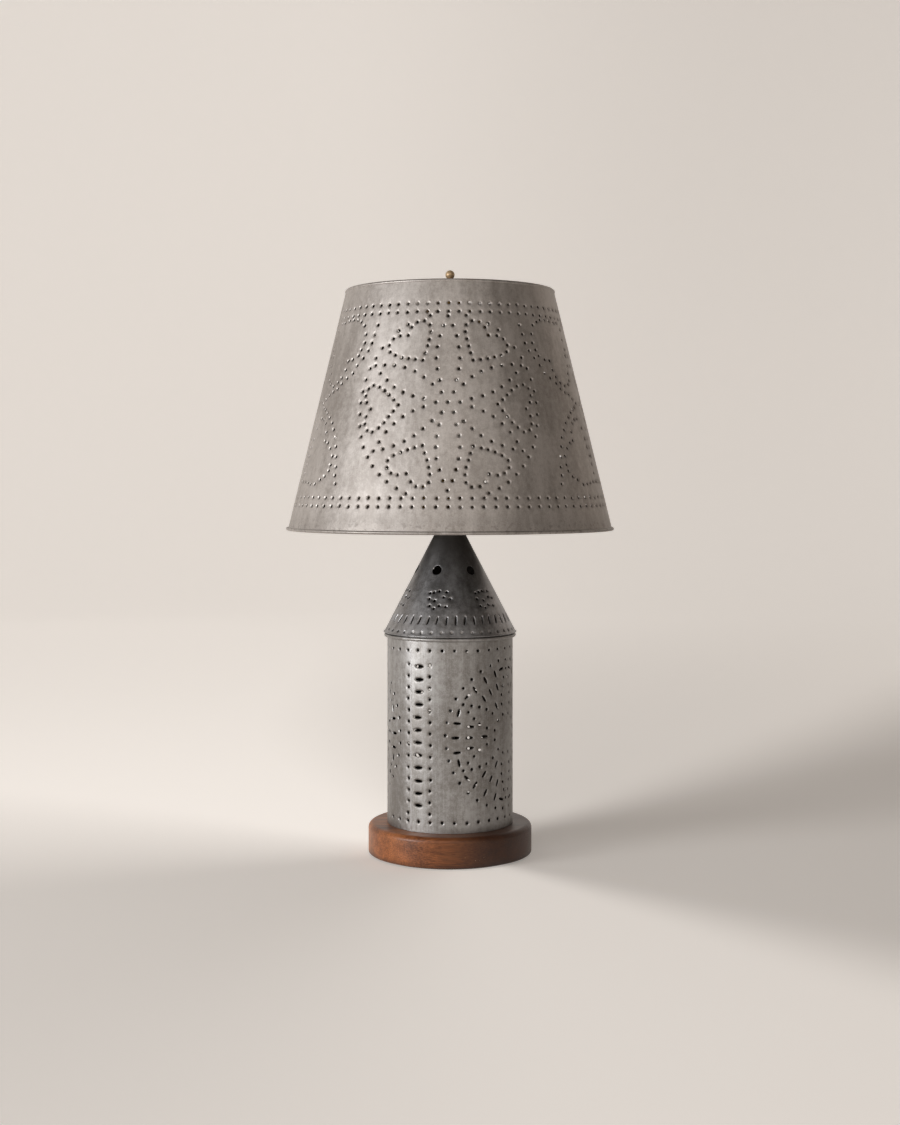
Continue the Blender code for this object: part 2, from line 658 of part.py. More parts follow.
def make_harp(stand):
    side = harp_side()
    left = [(-x, 0, z) for x, z in side]
    right = [(x, 0, z) for x, z in reversed(side)]
    flat = [(-HARP_TOP_HALF_WIDTH, 0, HARP_WIRE_TOP), (HARP_TOP_HALF_WIDTH, 0, HARP_WIRE_TOP)]
    wire("harp", left + flat + right, HARP_WIRE_RADIUS, BRASS, stand, 2)

    swivel_profile = [
        (0, HARP_SEAT + STUD_LENGTH),
        (STUD_RADIUS, HARP_SEAT + STUD_LENGTH),
        (STUD_RADIUS, HARP_SEAT),
        (SWIVEL_RADIUS, HARP_SEAT),
        (SWIVEL_RADIUS, HARP_WIRE_TOP - HARP_WIRE_RADIUS - GAP - SWIVEL_WALL),
        (0, HARP_WIRE_TOP - HARP_WIRE_RADIUS - GAP - SWIVEL_WALL),
    ]
    swivel = turned("harp_swivel", swivel_profile, BRASS, stand, SMALL_STEPS)
    bore = rod_mesh("swivel_bore", HARP_WIRE_RADIUS + GAP, 4 * SWIVEL_RADIUS, SCREW_STEPS)
    across = (0, math.radians(90), 0)
    cut(swivel, cutter("swivel_bore", bore, (0, 0, HARP_WIRE_TOP), across))


def make_sleeves(stand):
    """Two brass sleeves that lock the harp's feet to the saddle's tongues, and slide up to free them."""
    tongue_corner = math.hypot(TONGUE_WIDTH / 2, SADDLE_THICKNESS / 2)
    inner = max(tongue_corner, HARP_WIRE_RADIUS) + SLEEVE_GAP
    profile = tube_profile(inner + SLEEVE_WALL, inner, 0, SLEEVE_LENGTH)
    for side, name in ((-1, "left"), (1, "right")):
        axis = group("sleeve_" + name + "_axis", (side * SADDLE_HALF_SPAN, 0, SADDLE_TOP + GAP), stand)
        turned("harp_sleeve_" + name, profile, BRASS, axis, SMALL_STEPS)


def make_socket(stand):
    bore = PIPE_RADIUS + THREAD_GAP
    dome_top = SOCKET_SHOULDER
    hub_top = SOCKET_BOTTOM + SOCKET_HUB_HEIGHT
    inner_radius = SOCKET_CAP_RADIUS - SOCKET_CAP_WALL
    dome_knee = hub_top + SOCKET_DOME_HEIGHT * SOCKET_DOME_KNEE
    profile = [
        (bore, SOCKET_BOTTOM),
        (SOCKET_HUB_RADIUS, SOCKET_BOTTOM),
        (SOCKET_HUB_RADIUS, hub_top),
        ((SOCKET_HUB_RADIUS + SOCKET_CAP_RADIUS) / 2, dome_knee),
        (SOCKET_CAP_RADIUS, dome_top),
        (SOCKET_CAP_RADIUS, SOCKET_CAP_TOP),
        (inner_radius, SOCKET_CAP_TOP),
        (inner_radius, dome_top),
        ((SOCKET_HUB_RADIUS + inner_radius) / 2, dome_knee + SOCKET_CAP_WALL),
        (bore, hub_top + SOCKET_CAP_WALL),
    ]
    cap = turned("socket_cap", profile, BRASS, stand, MEDIUM_STEPS)
    backwards = (math.radians(-90), 0, 0)
    screw_z = SOCKET_BOTTOM + SOCKET_HUB_HEIGHT / 2
    tapped_radius = SET_SCREW_SHANK_RADIUS + THREAD_GAP
    tapped = rod_mesh("tapped", tapped_radius, SOCKET_HUB_RADIUS, SCREW_STEPS)
    cut(cap, cutter("tapped", tapped, (0, SOCKET_HUB_RADIUS, screw_z), backwards))
    head_start = SOCKET_HUB_RADIUS + GAP
    head_end = head_start + SET_SCREW_HEAD_THICKNESS
    screw_profile = [
        (0, bore),
        (SET_SCREW_SHANK_RADIUS, bore),
        (SET_SCREW_SHANK_RADIUS, head_start),
        (SET_SCREW_HEAD_RADIUS, head_start),
        (SET_SCREW_HEAD_RADIUS, head_end),
        (0, head_end),
    ]
    turned("socket_set_screw", screw_profile, BRASS, stand, SCREW_STEPS, (0, 0, screw_z), backwards)

    shell = turned(
        "socket_shell",
        tube_profile(SHELL_RADIUS, SHELL_RADIUS - SOCKET_SHELL_WALL, SHELL_BOTTOM, SHELL_TOP),
        BRASS, stand, MEDIUM_STEPS,
    )
    liner = turned(
        "socket_liner",
        tube_profile(
            LINER_RADIUS, LINER_RADIUS - LINER_WALL, SHELL_BOTTOM, SHELL_TOP - LINER_BELOW_SHELL
        ),
        FIBRE, stand, MEDIUM_STEPS,
    )
    insulator = turned(
        "socket_insulator",
        disc_profile(INSULATOR_RADIUS, INSULATOR_BOTTOM, INSULATOR_TOP),
        PHENOLIC, stand, MEDIUM_STEPS,
    )
    stem_hole = KEY_STEM_RADIUS + KEY_STEM_CLEARANCE
    slot_top = KEY_Z + stem_hole
    slot_height = slot_top - SHELL_BOTTOM + 2 * MM
    key_slot = box_mesh("key_slot", (2 * stem_hole, SHELL_RADIUS, slot_height))
    for piece in (shell, liner):
        at = (0, -SHELL_RADIUS, slot_top - slot_height / 2)
        cut(piece, cutter("key_slot", key_slot, at))
    inner_end = INSULATOR_RADIUS - KEY_STEM_DEPTH - GAP
    key_bore = rod_mesh("key_bore", stem_hole, INSULATOR_RADIUS, SCREW_STEPS)
    upright = (math.radians(90), 0, 0)
    at = (0, -inner_end - INSULATOR_RADIUS / 2, KEY_Z)
    cut(insulator, cutter("key_bore", key_bore, at, upright))

    screw_shell = [
        (SCREW_SHELL_RADIUS, SCREW_SHELL_BOTTOM + SCREW_SHELL_LENGTH),
        (SCREW_SHELL_RADIUS, SCREW_SHELL_BOTTOM),
        (CONTACT_HOLE_RADIUS, SCREW_SHELL_BOTTOM),
        (CONTACT_HOLE_RADIUS, SCREW_SHELL_BOTTOM + SCREW_SHELL_WALL),
        (SCREW_SHELL_RADIUS - SCREW_SHELL_WALL, SCREW_SHELL_BOTTOM + SCREW_SHELL_WALL),
        (SCREW_SHELL_RADIUS - SCREW_SHELL_WALL, SCREW_SHELL_BOTTOM + SCREW_SHELL_LENGTH),
    ]
    turned("screw_shell", screw_shell, BRASS, stand, MEDIUM_STEPS)
    turned(
        "centre_contact",
        disc_profile(CONTACT_RADIUS, SCREW_SHELL_BOTTOM, CONTACT_TOP),
        BRASS, stand, SMALL_STEPS,
    )
    make_terminals(stand, insulator)


def make_terminals(stand, insulator):
    """Two screws on flats at the insulator's sides, which clamp the cord's two wires."""
    z = INSULATOR_BOTTOM + TERMINAL_HEIGHT
    head_end = TERMINAL_FLAT + GAP + TERMINAL_HEAD_THICKNESS
    flat = box_mesh("flat", (INSULATOR_RADIUS, 3 * TERMINAL_HEAD_RADIUS, 3 * TERMINAL_HEAD_RADIUS))
    hole_length = 2 * (TERMINAL_SHANK_LENGTH + GAP)
    hole = rod_mesh("terminal_hole", TERMINAL_SHANK_RADIUS + THREAD_GAP, hole_length, SCREW_STEPS)
    profile = [
        (0, TERMINAL_FLAT - TERMINAL_SHANK_LENGTH),
        (TERMINAL_SHANK_RADIUS, TERMINAL_FLAT - TERMINAL_SHANK_LENGTH),
        (TERMINAL_SHANK_RADIUS, TERMINAL_FLAT + GAP),
        (TERMINAL_HEAD_RADIUS, TERMINAL_FLAT + GAP),
        (TERMINAL_HEAD_RADIUS, head_end),
        (0, head_end),
    ]
    for side, name in ((-1, "left"), (1, "right")):
        sideways = (0, side * math.radians(90), 0)
        flat_x = side * (TERMINAL_FLAT + INSULATOR_RADIUS / 2)
        cut(insulator, cutter("flat", flat, (flat_x, 0, z)))
        cut(insulator, cutter("terminal_hole", hole, (side * TERMINAL_FLAT, 0, z), sideways))
        screw_name = "terminal_screw_" + name
        turned(screw_name, profile, BRASS, stand, SCREW_STEPS, (0, 0, z), sideways)


def make_switch_key(stand):
    """The turn key that switches the lamp. Its axis points out of the socket's front."""
    axis = group("switch_axis", (0, 0, KEY_Z), stand)
    start = INSULATOR_RADIUS - KEY_STEM_DEPTH
    knob_start = SOCKET_CAP_RADIUS + KEY_STANDOFF
    length = knob_start + KEY_LENGTH / 2 - start
    stem = rod_mesh("switch_key", KEY_STEM_RADIUS, length, SCREW_STEPS)
    upright = (math.radians(90), 0, 0)
    key = add("switch_key", stem, PHENOLIC, axis, (0, -start - length / 2, 0), upright)
    knob = cutter(
        "knob",
        box_mesh("knob", (KEY_WIDTH, KEY_LENGTH, KEY_THICKNESS)),
        (0, -knob_start - KEY_LENGTH / 2, 0),
        parent=axis,
    )
    round_edges(knob, KEY_EDGE_ROUND, 2)
    join(key, knob)


def make_bulb(stand):
    axis = group("bulb_axis", (0, 0, BULB_BOTTOM), stand)
    turned("bulb_tip", disc_profile(BULB_TIP_RADIUS, 0, BULB_TIP_HEIGHT), ALUMINIUM, axis, SMALL_STEPS)
    low = BULB_INSULATOR_BOTTOM - BULB_BOTTOM
    insulator = [
        (0, low),
        (BULB_TIP_RADIUS, low),
        (BULB_FOOT_RADIUS - BULB_BASE_WALL, low + BULB_INSULATOR_HEIGHT),
        (0, low + BULB_INSULATOR_HEIGHT),
    ]
    turned("bulb_insulator", insulator, PHENOLIC, axis, MEDIUM_STEPS)

    bottom = BULB_BASE_BOTTOM - BULB_BOTTOM
    line = [
        (BULB_FOOT_RADIUS - BULB_BASE_WALL / 2, bottom),
        (BULB_THREAD_RADIUS - BULB_BASE_WALL / 2, bottom + BULB_FOOT_HEIGHT),
        (BULB_THREAD_RADIUS - BULB_BASE_WALL / 2, bottom + BULB_BASE_LENGTH),
    ]
    turned("bulb_base", sheet_profile(line, BULB_BASE_WALL), ALUMINIUM, axis, MEDIUM_STEPS)

    neck_radius = BULB_THREAD_RADIUS - BULB_BASE_WALL - GAP - BULB_GLASS_WALL / 2
    neck_bottom = bottom + BULB_FOOT_HEIGHT + BULB_NECK_RISE
    top = neck_bottom + BULB_GLASS_LENGTH
    ball = (0, top - BULB_RADIUS)
    shoulder = neck_bottom + BULB_NECK_LENGTH
    radius = BULB_RADIUS - BULB_GLASS_WALL / 2
    # The side leaves the straight neck and meets the ball below its middle, as a smooth curve.
    meets = arc(ball, radius, -35, -25, 1)
    side = smooth_path(
        [
            Vector((neck_radius, shoulder)),
            Vector(((neck_radius + meets[0][0]) / 2, (shoulder + meets[0][1]) / 2)),
            Vector(meets[0]),
        ],
        2,
    )
    line = [(neck_radius, neck_bottom)]
    line += [tuple(p) for p in side]
    line += arc(ball, radius, -20, 75, 6)
    line += [(0, top - BULB_GLASS_WALL / 2)]
    # Both skins end on the axis at the crown.
    skins = sheet_profile(line, BULB_GLASS_WALL)
    inside = skins[:len(line) - 1]
    outside = skins[len(line) + 1:]
    profile = [(0, top), *outside, *inside, (0, top - BULB_GLASS_WALL)]
    turned("bulb_glass", profile, FROSTED_GLASS, axis, MEDIUM_STEPS)


CURL_RADIUS = EDGE_WIRE_RADIUS + EDGE_WIRE_GAP + TIN / 2  # the rolled edge's middle line
SHADE_BOTTOM_SHEET = SHADE_BOTTOM_RADIUS - BOTTOM_BEAD_PROUD  # the sheet's outer face, at each edge
SHADE_TOP_SHEET = SHADE_TOP_RADIUS


def shade_radius(z):
    """The shade's outer face at a height."""
    share = (z - SHADE_BOTTOM) / SHADE_HEIGHT
    return SHADE_BOTTOM_SHEET + (SHADE_TOP_SHEET - SHADE_BOTTOM_SHEET) * share


def make_shade(axis, base_z):
    """The cone of tin, its lower edge rolled round a wire in a bead and its upper edge rolled inwards."""
    bottom_centre = (
        SHADE_BOTTOM_RADIUS - CURL_RADIUS - TIN / 2,
        SHADE_BOTTOM + CURL_RADIUS + TIN / 2,
    )
    bead_start = bottom_centre[1] + BOTTOM_BEAD_NECK
    top_centre = (SHADE_TOP_SHEET - TIN / 2 - CURL_RADIUS, SHADE_TOP - CURL_RADIUS - TIN / 2)
    line = [
        *arc(bottom_centre, CURL_RADIUS, 135, 135 + EDGE_CURL_DEGREES, CURL_STEPS)[::-1],
        (shade_radius(bead_start) - TIN / 2, bead_start),
        *arc(top_centre, CURL_RADIUS, 0, EDGE_CURL_DEGREES, CURL_STEPS),
    ]
    above_axis = [(r, z - base_z) for r, z in line]
    turned("shade_shell", sheet_profile(above_axis, TIN), AGED_TIN, axis, LARGE_STEPS)
    for name, (r, z) in (("top", top_centre), ("bottom", bottom_centre)):
        ring = arc((r, z - base_z), EDGE_WIRE_RADIUS, 0, 300, CURL_STEPS)
        turned("shade_" + name + "_wire", ring, STEEL, axis, LARGE_STEPS)


def make_spider(axis):
    """The hub that the finial clamps, with three flat arms to tabs inside the shade's top edge."""
    hub_profile = tube_profile(
        HUB_RADIUS, STUD_RADIUS + THREAD_GAP, HUB_BOTTOM - HARP_SEAT, HUB_TOP - HARP_SEAT
    )
    spider = turned("shade_spider", hub_profile, BRASS, axis, SMALL_STEPS)
    middle_z = (HUB_BOTTOM + HUB_TOP) / 2 - HARP_SEAT
    flat_share = math.cos(math.pi / LARGE_STEPS)
    reach = (shade_radius(HUB_TOP) - 2 * TIN) * flat_share - GAP
    start = (HUB_RADIUS + STUD_RADIUS) / 2
    arm = box_mesh("arm", (SPIDER_ARM_WIDTH, reach - start, HUB_THICKNESS))
    for azimuth in SPIDER_AZIMUTHS:
        turn = (0, 0, math.radians(azimuth))
        at = place(azimuth, (start + reach) / 2, middle_z)
        join(spider, cutter("arm", arm, at, turn, parent=axis))
    return spider


def make_finial(stand):
    axis = group("finial_axis", (0, 0, FINIAL_BOTTOM), stand)
    bore = STUD_RADIUS + THREAD_GAP
    stem = bore + FINIAL_STEM_WALL
    bore_top = HARP_SEAT + STUD_LENGTH - FINIAL_BOTTOM + GAP
    ball_z = FINIAL_HEIGHT - FINIAL_BALL_RADIUS
    neck_z = ball_z - math.sqrt(FINIAL_BALL_RADIUS**2 - FINIAL_NECK_RADIUS**2)
    neck_angle = math.degrees(math.asin((neck_z - ball_z) / FINIAL_BALL_RADIUS))
    bead_z = bore_top + FINIAL_BEAD_HALF_HEIGHT + FINIAL_STEM_WALL
    slope_top = FINIAL_FLANGE_THICKNESS + FINIAL_FLANGE_SLOPE
    profile = [
        (0, bore_top),
        (bore, bore_top),
        (bore, 0),
        (FINIAL_FLANGE_RADIUS, 0),
        (FINIAL_FLANGE_RADIUS, FINIAL_FLANGE_THICKNESS),
        (stem + FINIAL_STEM_FLARE, slope_top),
        (stem, slope_top + 4 * FINIAL_STEM_FLARE),
        (stem, bead_z - FINIAL_BEAD_HALF_HEIGHT),
        (FINIAL_BEAD_RADIUS, bead_z - FINIAL_BEAD_HALF_HEIGHT / 2),
        (FINIAL_BEAD_RADIUS, bead_z + FINIAL_BEAD_HALF_HEIGHT / 2),
        (FINIAL_NECK_RADIUS, bead_z + FINIAL_BEAD_HALF_HEIGHT),
        *arc((0, ball_z), FINIAL_BALL_RADIUS, neck_angle, 90, 7)[:-1],
        (0, FINIAL_HEIGHT),
    ]
    turned("finial", profile, AGED_BRASS, axis, SMALL_STEPS)


def make_cord_in_the_lamp(stand):
    """The bushing at the back of the base, and the cord from there to the socket."""
    nose_start = BUSHING_FLANGE_THICKNESS
    bore = CORD_RADIUS + GAP
    profile = [
        (bore, -BUSHING_SEAT_DEPTH),
        (bore, nose_start + BUSHING_NOSE_LENGTH),
        (BUSHING_NOSE_RADIUS, nose_start + BUSHING_NOSE_LENGTH),
        (BUSHING_NOSE_RADIUS + BUSHING_NOSE_FLARE, nose_start),
        (BUSHING_FLANGE_RADIUS, nose_start),
        (BUSHING_FLANGE_RADIUS, 0),
        (BUSHING_SEAT_RADIUS, 0),
        (BUSHING_SEAT_RADIUS, -BUSHING_SEAT_DEPTH),
    ]
    backwards = (math.radians(-90), 0, 0)
    at = (0, BASE_BACK + GAP, CHANNEL_Z)
    turned("cord_bushing", profile, PHENOLIC, stand, SMALL_STEPS, at, backwards)

    bend = [
        (0, y, CHANNEL_Z + z)
        for y, z in arc((CORD_BEND_RADIUS, CORD_BEND_RADIUS), CORD_BEND_RADIUS, -90, -180, 6)
    ]
    top = INSULATOR_BOTTOM - GAP
    inside = [(0, BUSHING_TIP, CHANNEL_Z), *bend, (0, 0, top)]
    wire("cord_in_the_lamp", inside, CORD_RADIUS, CORD_BROWN, stand, 1)


COIL_PITCH = 2 * CORD_RADIUS + COIL_TURN_GAP
COIL_INNER_RADIUS = COIL_OUTER_RADIUS - COIL_TURNS_A_LAYER * COIL_PITCH
COIL_X = COIL_CENTRE[0] + COIL_OUTER_RADIUS  # where the cord joins and leaves the coil, heading +Y
COIL_TOP_HEIGHT = COIL_HEIGHT + COIL_PITCH
END_STRAIGHT = 2 * CORD_RADIUS


def coil_points():
    """The coil's centre line: in along the lower layer, out along the upper, climbing between."""
    count = 2 * COIL_TURNS_A_LAYER * COIL_POINTS_A_TURN
    points = []
    for i in range(count + 1):
        turn = i / COIL_POINTS_A_TURN
        past_middle = turn - COIL_TURNS_A_LAYER
        climb = min(max(past_middle / COIL_CLIMB_TURNS + 0.5, 0), 1)
        radius = COIL_INNER_RADIUS + COIL_PITCH * abs(past_middle)
        angle = math.tau * turn
        points.append(
            Vector((
                COIL_CENTRE[0] + radius * math.cos(angle),
                COIL_CENTRE[1] + radius * math.sin(angle),
                COIL_HEIGHT + COIL_PITCH * (1 - math.cos(math.pi * climb)) / 2,
            ))
        )
    return points


def least_gap(points, radius):
    """The smallest space between two stretches of one tube that aren't next to each other."""
    neighbours = COIL_POINTS_A_TURN // 2
    least = min(
        (a - b).length
        for i, a in enumerate(points)
        for b in points[i + neighbours:]
    )
    return least - 2 * radius


def path_length(points):
    return sum((b - a).length for a, b in zip(points, points[1:]))


def make_free_cord(stand):
    """The cord behind the base: the lead, the coil, and the tail that ends in the plug."""
    coil = coil_points()
    start = Vector((COIL_X, COIL_CENTRE[1] - END_STRAIGHT, COIL_HEIGHT))
    end_turn = Vector((COIL_X, COIL_CENTRE[1], COIL_TOP_HEIGHT))
    # The upper layer's last point carries on straight along +Y.
    coil = [start, *coil[:-1], end_turn, end_turn + Vector((0, END_STRAIGHT, 0))]
    print(f"coil: {path_length(coil):.3f} m, least gap {1000 * least_gap(coil, CORD_RADIUS):.2f} mm")
    wire("cord_coil", coil, CORD_RADIUS, CORD_BROWN, stand, 1)

    exit_y = BUSHING_TIP + GAP
    lead_route = [
        (0.0 * MM, exit_y, CHANNEL_Z),
        (0.4 * MM, 108.0 * MM, 7.7 * MM),
        (2.6 * MM, 114.0 * MM, 6.4 * MM),
        (6.0 * MM, 120.0 * MM, 5.0 * MM),
        (9.0 * MM, 127.0 * MM, 4.2 * MM),
        (COIL_X, 134.4 * MM, COIL_HEIGHT),
        (COIL_X, start.y - GAP, COIL_HEIGHT),
    ]
    lead = smooth_path([Vector(p) for p in lead_route], 4)
    wire("cord_lead", lead, CORD_RADIUS, CORD_BROWN, stand, 2)

    bend_start = coil[-1] + Vector((0, GAP, 0))
    centre = bend_start + Vector((TAIL_BEND_RADIUS, 0, 0))
    steps = 12
    tail = []
    for i in range(steps + 1):
        turned_by = math.radians(TAIL_BEND_DEGREES) * i / steps
        drop = (COIL_TOP_HEIGHT - PLUG_HEIGHT) * (1 - math.cos(math.pi * i / steps)) / 2
        tail.append(
            centre + Vector((
                -TAIL_BEND_RADIUS * math.cos(turned_by),
                TAIL_BEND_RADIUS * math.sin(turned_by),
                -drop,
            ))
        )
    wire("cord_tail", tail, CORD_RADIUS, CORD_BROWN, stand, 2)
    print(f"free cord: {path_length(lead) + path_length(coil) + path_length(tail):.3f} m")
    make_tie(stand)
    make_plug(stand, tail[-1], math.radians(TAIL_BEND_DEGREES))


def make_tie(stand):
    """A flat tie round all the turns, on the coil's side away from the lead."""
    inner = COIL_INNER_RADIUS - CORD_RADIUS - TIE_GAP
    outer = COIL_OUTER_RADIUS + CORD_RADIUS + TIE_GAP
    low = COIL_HEIGHT - CORD_RADIUS - TIE_GAP
    high = COIL_TOP_HEIGHT + CORD_RADIUS + TIE_GAP
    at = (COIL_CENTRE[0] - (inner + outer) / 2, COIL_CENTRE[1], (low + high) / 2)
    band_size = (outer - inner + 2 * TIE_WALL, TIE_WIDTH, high - low + 2 * TIE_WALL)
    band = add("cord_tie", box_mesh("cord_tie", band_size), PHENOLIC, stand, at)
    hole = box_mesh("tie_hole", (outer - inner, 2 * TIE_WIDTH, high - low))
    cut(band, cutter("tie_hole", hole, at))


def make_plug(stand, at, bend):
    """The plug at the tail's end, lying flat: a tapered relief, a body and two blades."""
    heading = Vector((math.sin(bend), math.cos(bend), 0))
    axis = group("plug_axis", at, stand)
    axis.rotation_euler = (0, 0, -bend)
    relief_profile = [
        (0, GAP),
        (RELIEF_TIP_RADIUS, GAP),
        (RELIEF_ROOT_RADIUS, GAP + RELIEF_LENGTH),
        (0, GAP + RELIEF_LENGTH),
    ]
    forwards = (math.radians(-90), 0, 0)
    turned("plug_relief", relief_profile, PHENOLIC, axis, SMALL_STEPS, (0, 0, 0), forwards)
    body_start = 2 * GAP + RELIEF_LENGTH
    body_mesh = box_mesh("plug_body", (PLUG_WIDTH, PLUG_LENGTH, PLUG_THICKNESS))
    body_at = (0, body_start + PLUG_LENGTH / 2, 0)
    body = add("plug_body", body_mesh, PHENOLIC, axis, body_at)
    round_edges(body, PLUG_EDGE_ROUND, 2)
    blade_mesh = box_mesh("plug_blade", (BLADE_THICKNESS, BLADE_LENGTH, BLADE_WIDTH))
    blade_y = body_start + PLUG_LENGTH + GAP + BLADE_LENGTH / 2
    for side, name in ((-1, "left"), (1, "right")):
        blade_at = (side * BLADE_SPACING / 2, blade_y, 0)
        add("plug_blade_" + name, blade_mesh.copy(), BRASS, axis, blade_at)
    tip = Vector(at) + heading * (body_start + PLUG_LENGTH + GAP + BLADE_LENGTH)
    print(f"plug tip at {1000 * tip.x:.1f}, {1000 * tip.y:.1f} mm")


def make_lamp():
    stand = group("stand")
    make_base(stand)
    make_lantern(stand)
    make_roof(stand)
    make_saddle(stand)
    make_harp(stand)
    make_sleeves(stand)
    make_socket(stand)
    make_switch_key(stand)
    make_bulb(stand)
    shade_axis = group("shade_axis", (0, 0, HARP_SEAT), stand)
    make_shade(shade_axis, HARP_SEAT)
    make_spider(shade_axis)
    make_finial(stand)
    make_cord_in_the_lamp(stand)
    make_free_cord(stand)


make_lamp()
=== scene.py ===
# %% [markdown]
# # A punched tin table lamp
#
# The lamp is a tin lantern on a round walnut base, under a wide cone of punched tin. Its beauty is in
# some two thousand punch marks. Each one is a small dish hammered into the sheet with a hole in its
# middle, and it catches the window's light on one side of the dish.
#
# This notebook dresses a plain CAD model of the lamp. The CAD model sits in metres, with +Z up, the
# lamp's axis on Z and its front towards -Y. An azimuth is an angle round the axis, measured from the
# front and positive towards +X.

# %% Start from the CAD model
import json
import math
import random

import bmesh
import bpy
import numpy as np
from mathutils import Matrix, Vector
from mathutils.geometry import delaunay_2d_cdt

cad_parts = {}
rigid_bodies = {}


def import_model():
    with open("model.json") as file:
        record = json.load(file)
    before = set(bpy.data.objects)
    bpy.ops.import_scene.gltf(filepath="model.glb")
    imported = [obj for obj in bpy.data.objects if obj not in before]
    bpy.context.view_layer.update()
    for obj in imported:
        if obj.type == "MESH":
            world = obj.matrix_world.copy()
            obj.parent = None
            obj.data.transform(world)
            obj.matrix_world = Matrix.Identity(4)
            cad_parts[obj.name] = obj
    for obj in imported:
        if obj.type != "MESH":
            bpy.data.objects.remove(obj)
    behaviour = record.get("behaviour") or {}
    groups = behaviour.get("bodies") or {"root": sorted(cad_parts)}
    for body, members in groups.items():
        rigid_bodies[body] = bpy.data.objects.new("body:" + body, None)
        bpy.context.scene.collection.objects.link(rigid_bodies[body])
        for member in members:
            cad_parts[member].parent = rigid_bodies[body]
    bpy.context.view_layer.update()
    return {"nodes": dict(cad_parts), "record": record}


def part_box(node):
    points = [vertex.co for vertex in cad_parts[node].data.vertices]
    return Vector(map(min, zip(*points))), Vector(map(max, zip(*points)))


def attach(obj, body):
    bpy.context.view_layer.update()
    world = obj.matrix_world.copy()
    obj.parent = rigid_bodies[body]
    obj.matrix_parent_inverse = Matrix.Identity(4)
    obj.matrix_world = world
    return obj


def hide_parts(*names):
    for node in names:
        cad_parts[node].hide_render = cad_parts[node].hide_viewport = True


for leftover in list(bpy.data.objects):
    bpy.data.objects.remove(leftover, do_unlink=True)

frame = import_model()
record = frame["record"]
BODY_OF = {node: body for body, nodes in record["behaviour"]["bodies"].items() for node in nodes}
SLOT_OF = {part["node"]: part["material_slot"] for part in record["subparts"]}
MM = 0.001


def placed(name, data):
    """A new object that holds the data, in the scene."""
    made = bpy.data.objects.new(name, data)
    bpy.context.scene.collection.objects.link(made)
    return made


# %% [markdown]
# ## The camera
#
# A level camera keeps upright lines upright, as a careful photograph of a lamp does. The lens is
# shifted down a little instead of tilting the camera, so that the cylinder's sides stay parallel.

# %% Camera
eye = bpy.data.cameras.new("camera")
eye.lens = 51.8
eye.sensor_width = 36
eye.shift_y = -0.0718
camera = placed("camera", eye)
camera.location = (0, -1.8898, 0.4319)
camera.rotation_euler = (math.radians(90), 0, 0)
bpy.context.scene.camera = camera
bpy.context.scene.view_settings.view_transform = "Standard"
print("camera", round(-camera.location.y, 3), "m from the lamp's axis")

# %% [markdown]
# ## Sums in node trees
#
# Materials and Geometry Nodes are both graphs of sockets. A socket wrapped in a small class can be
# added and multiplied with plain Python signs, which reads better than pages of Math nodes. The same
# class serves both kinds of tree, because Math nodes are the same in both.


# %% One class for a socket, one for a tree
class Value:
    """One output of a node tree, used in sums like a number."""

    def __init__(self, tree, socket):
        self.tree = tree
        self.socket = socket

    def _math(self, operation, first, second):
        return self.tree.add("ShaderNodeMath", {"operation": operation}, (first, second))

    def __add__(self, other):
        return self._math("ADD", self, other)

    def __sub__(self, other):
        return self._math("SUBTRACT", self, other)

    def __rsub__(self, other):
        return self._math("SUBTRACT", other, self)

    def __mul__(self, other):
        return self._math("MULTIPLY", self, other)

    def __truediv__(self, other):
        return self._math("DIVIDE", self, other)

    def __pow__(self, other):
        return self._math("POWER", self, other)

    def __lt__(self, other):
        return self._math("LESS_THAN", self, other)

    def sine(self):
        return self.tree.add("ShaderNodeMath", {"operation": "SINE"}, (self,))

    __radd__ = __add__


class Tree:
    """A node tree that is built by adding nodes with their settings and inputs."""

    def __init__(self, nodes):
        self.nodes = nodes

    def add(self, kind, settings=None, inputs=(), output=0):
        node = self.nodes.nodes.new(kind)
        for name, setting in (settings or {}).items():
            setattr(node, name, setting)
        pairs = inputs.items() if isinstance(inputs, dict) else enumerate(inputs)
        for key, value in pairs:
            self.plug(value, node.inputs[key])
        return Value(self, node.outputs[output]) if len(node.outputs) else node

    def vector(self, operation, *inputs, output="Vector"):
        return self.add("ShaderNodeVectorMath", {"operation": operation}, inputs, output)

    def axis(self, place, name):
        return self.add("ShaderNodeSeparateXYZ", {}, (place,), name)

    def plug(self, value, socket):
        if isinstance(value, Value):
            self.nodes.links.new(value.socket, socket)
        else:
            socket.default_value = value


print("sockets can be added and multiplied")

# %% [markdown]
# ## Colours that change over a surface
#
# Real metal and wood are never one flat colour. Three small helpers make the changes: noise, a ramp
# that spreads a value between two limits, and a mix of two colours.


# %% Helpers for materials
def colour(red, green, blue):
    """An sRGB colour from 0 to 255, as the linear colour that shaders take."""
    linear = []
    for channel in (red, green, blue):
        share = channel / 255
        linear.append(share / 12.92 if share <= 0.04045 else ((share + 0.055) / 1.055) ** 2.4)
    return (*linear, 1.0)


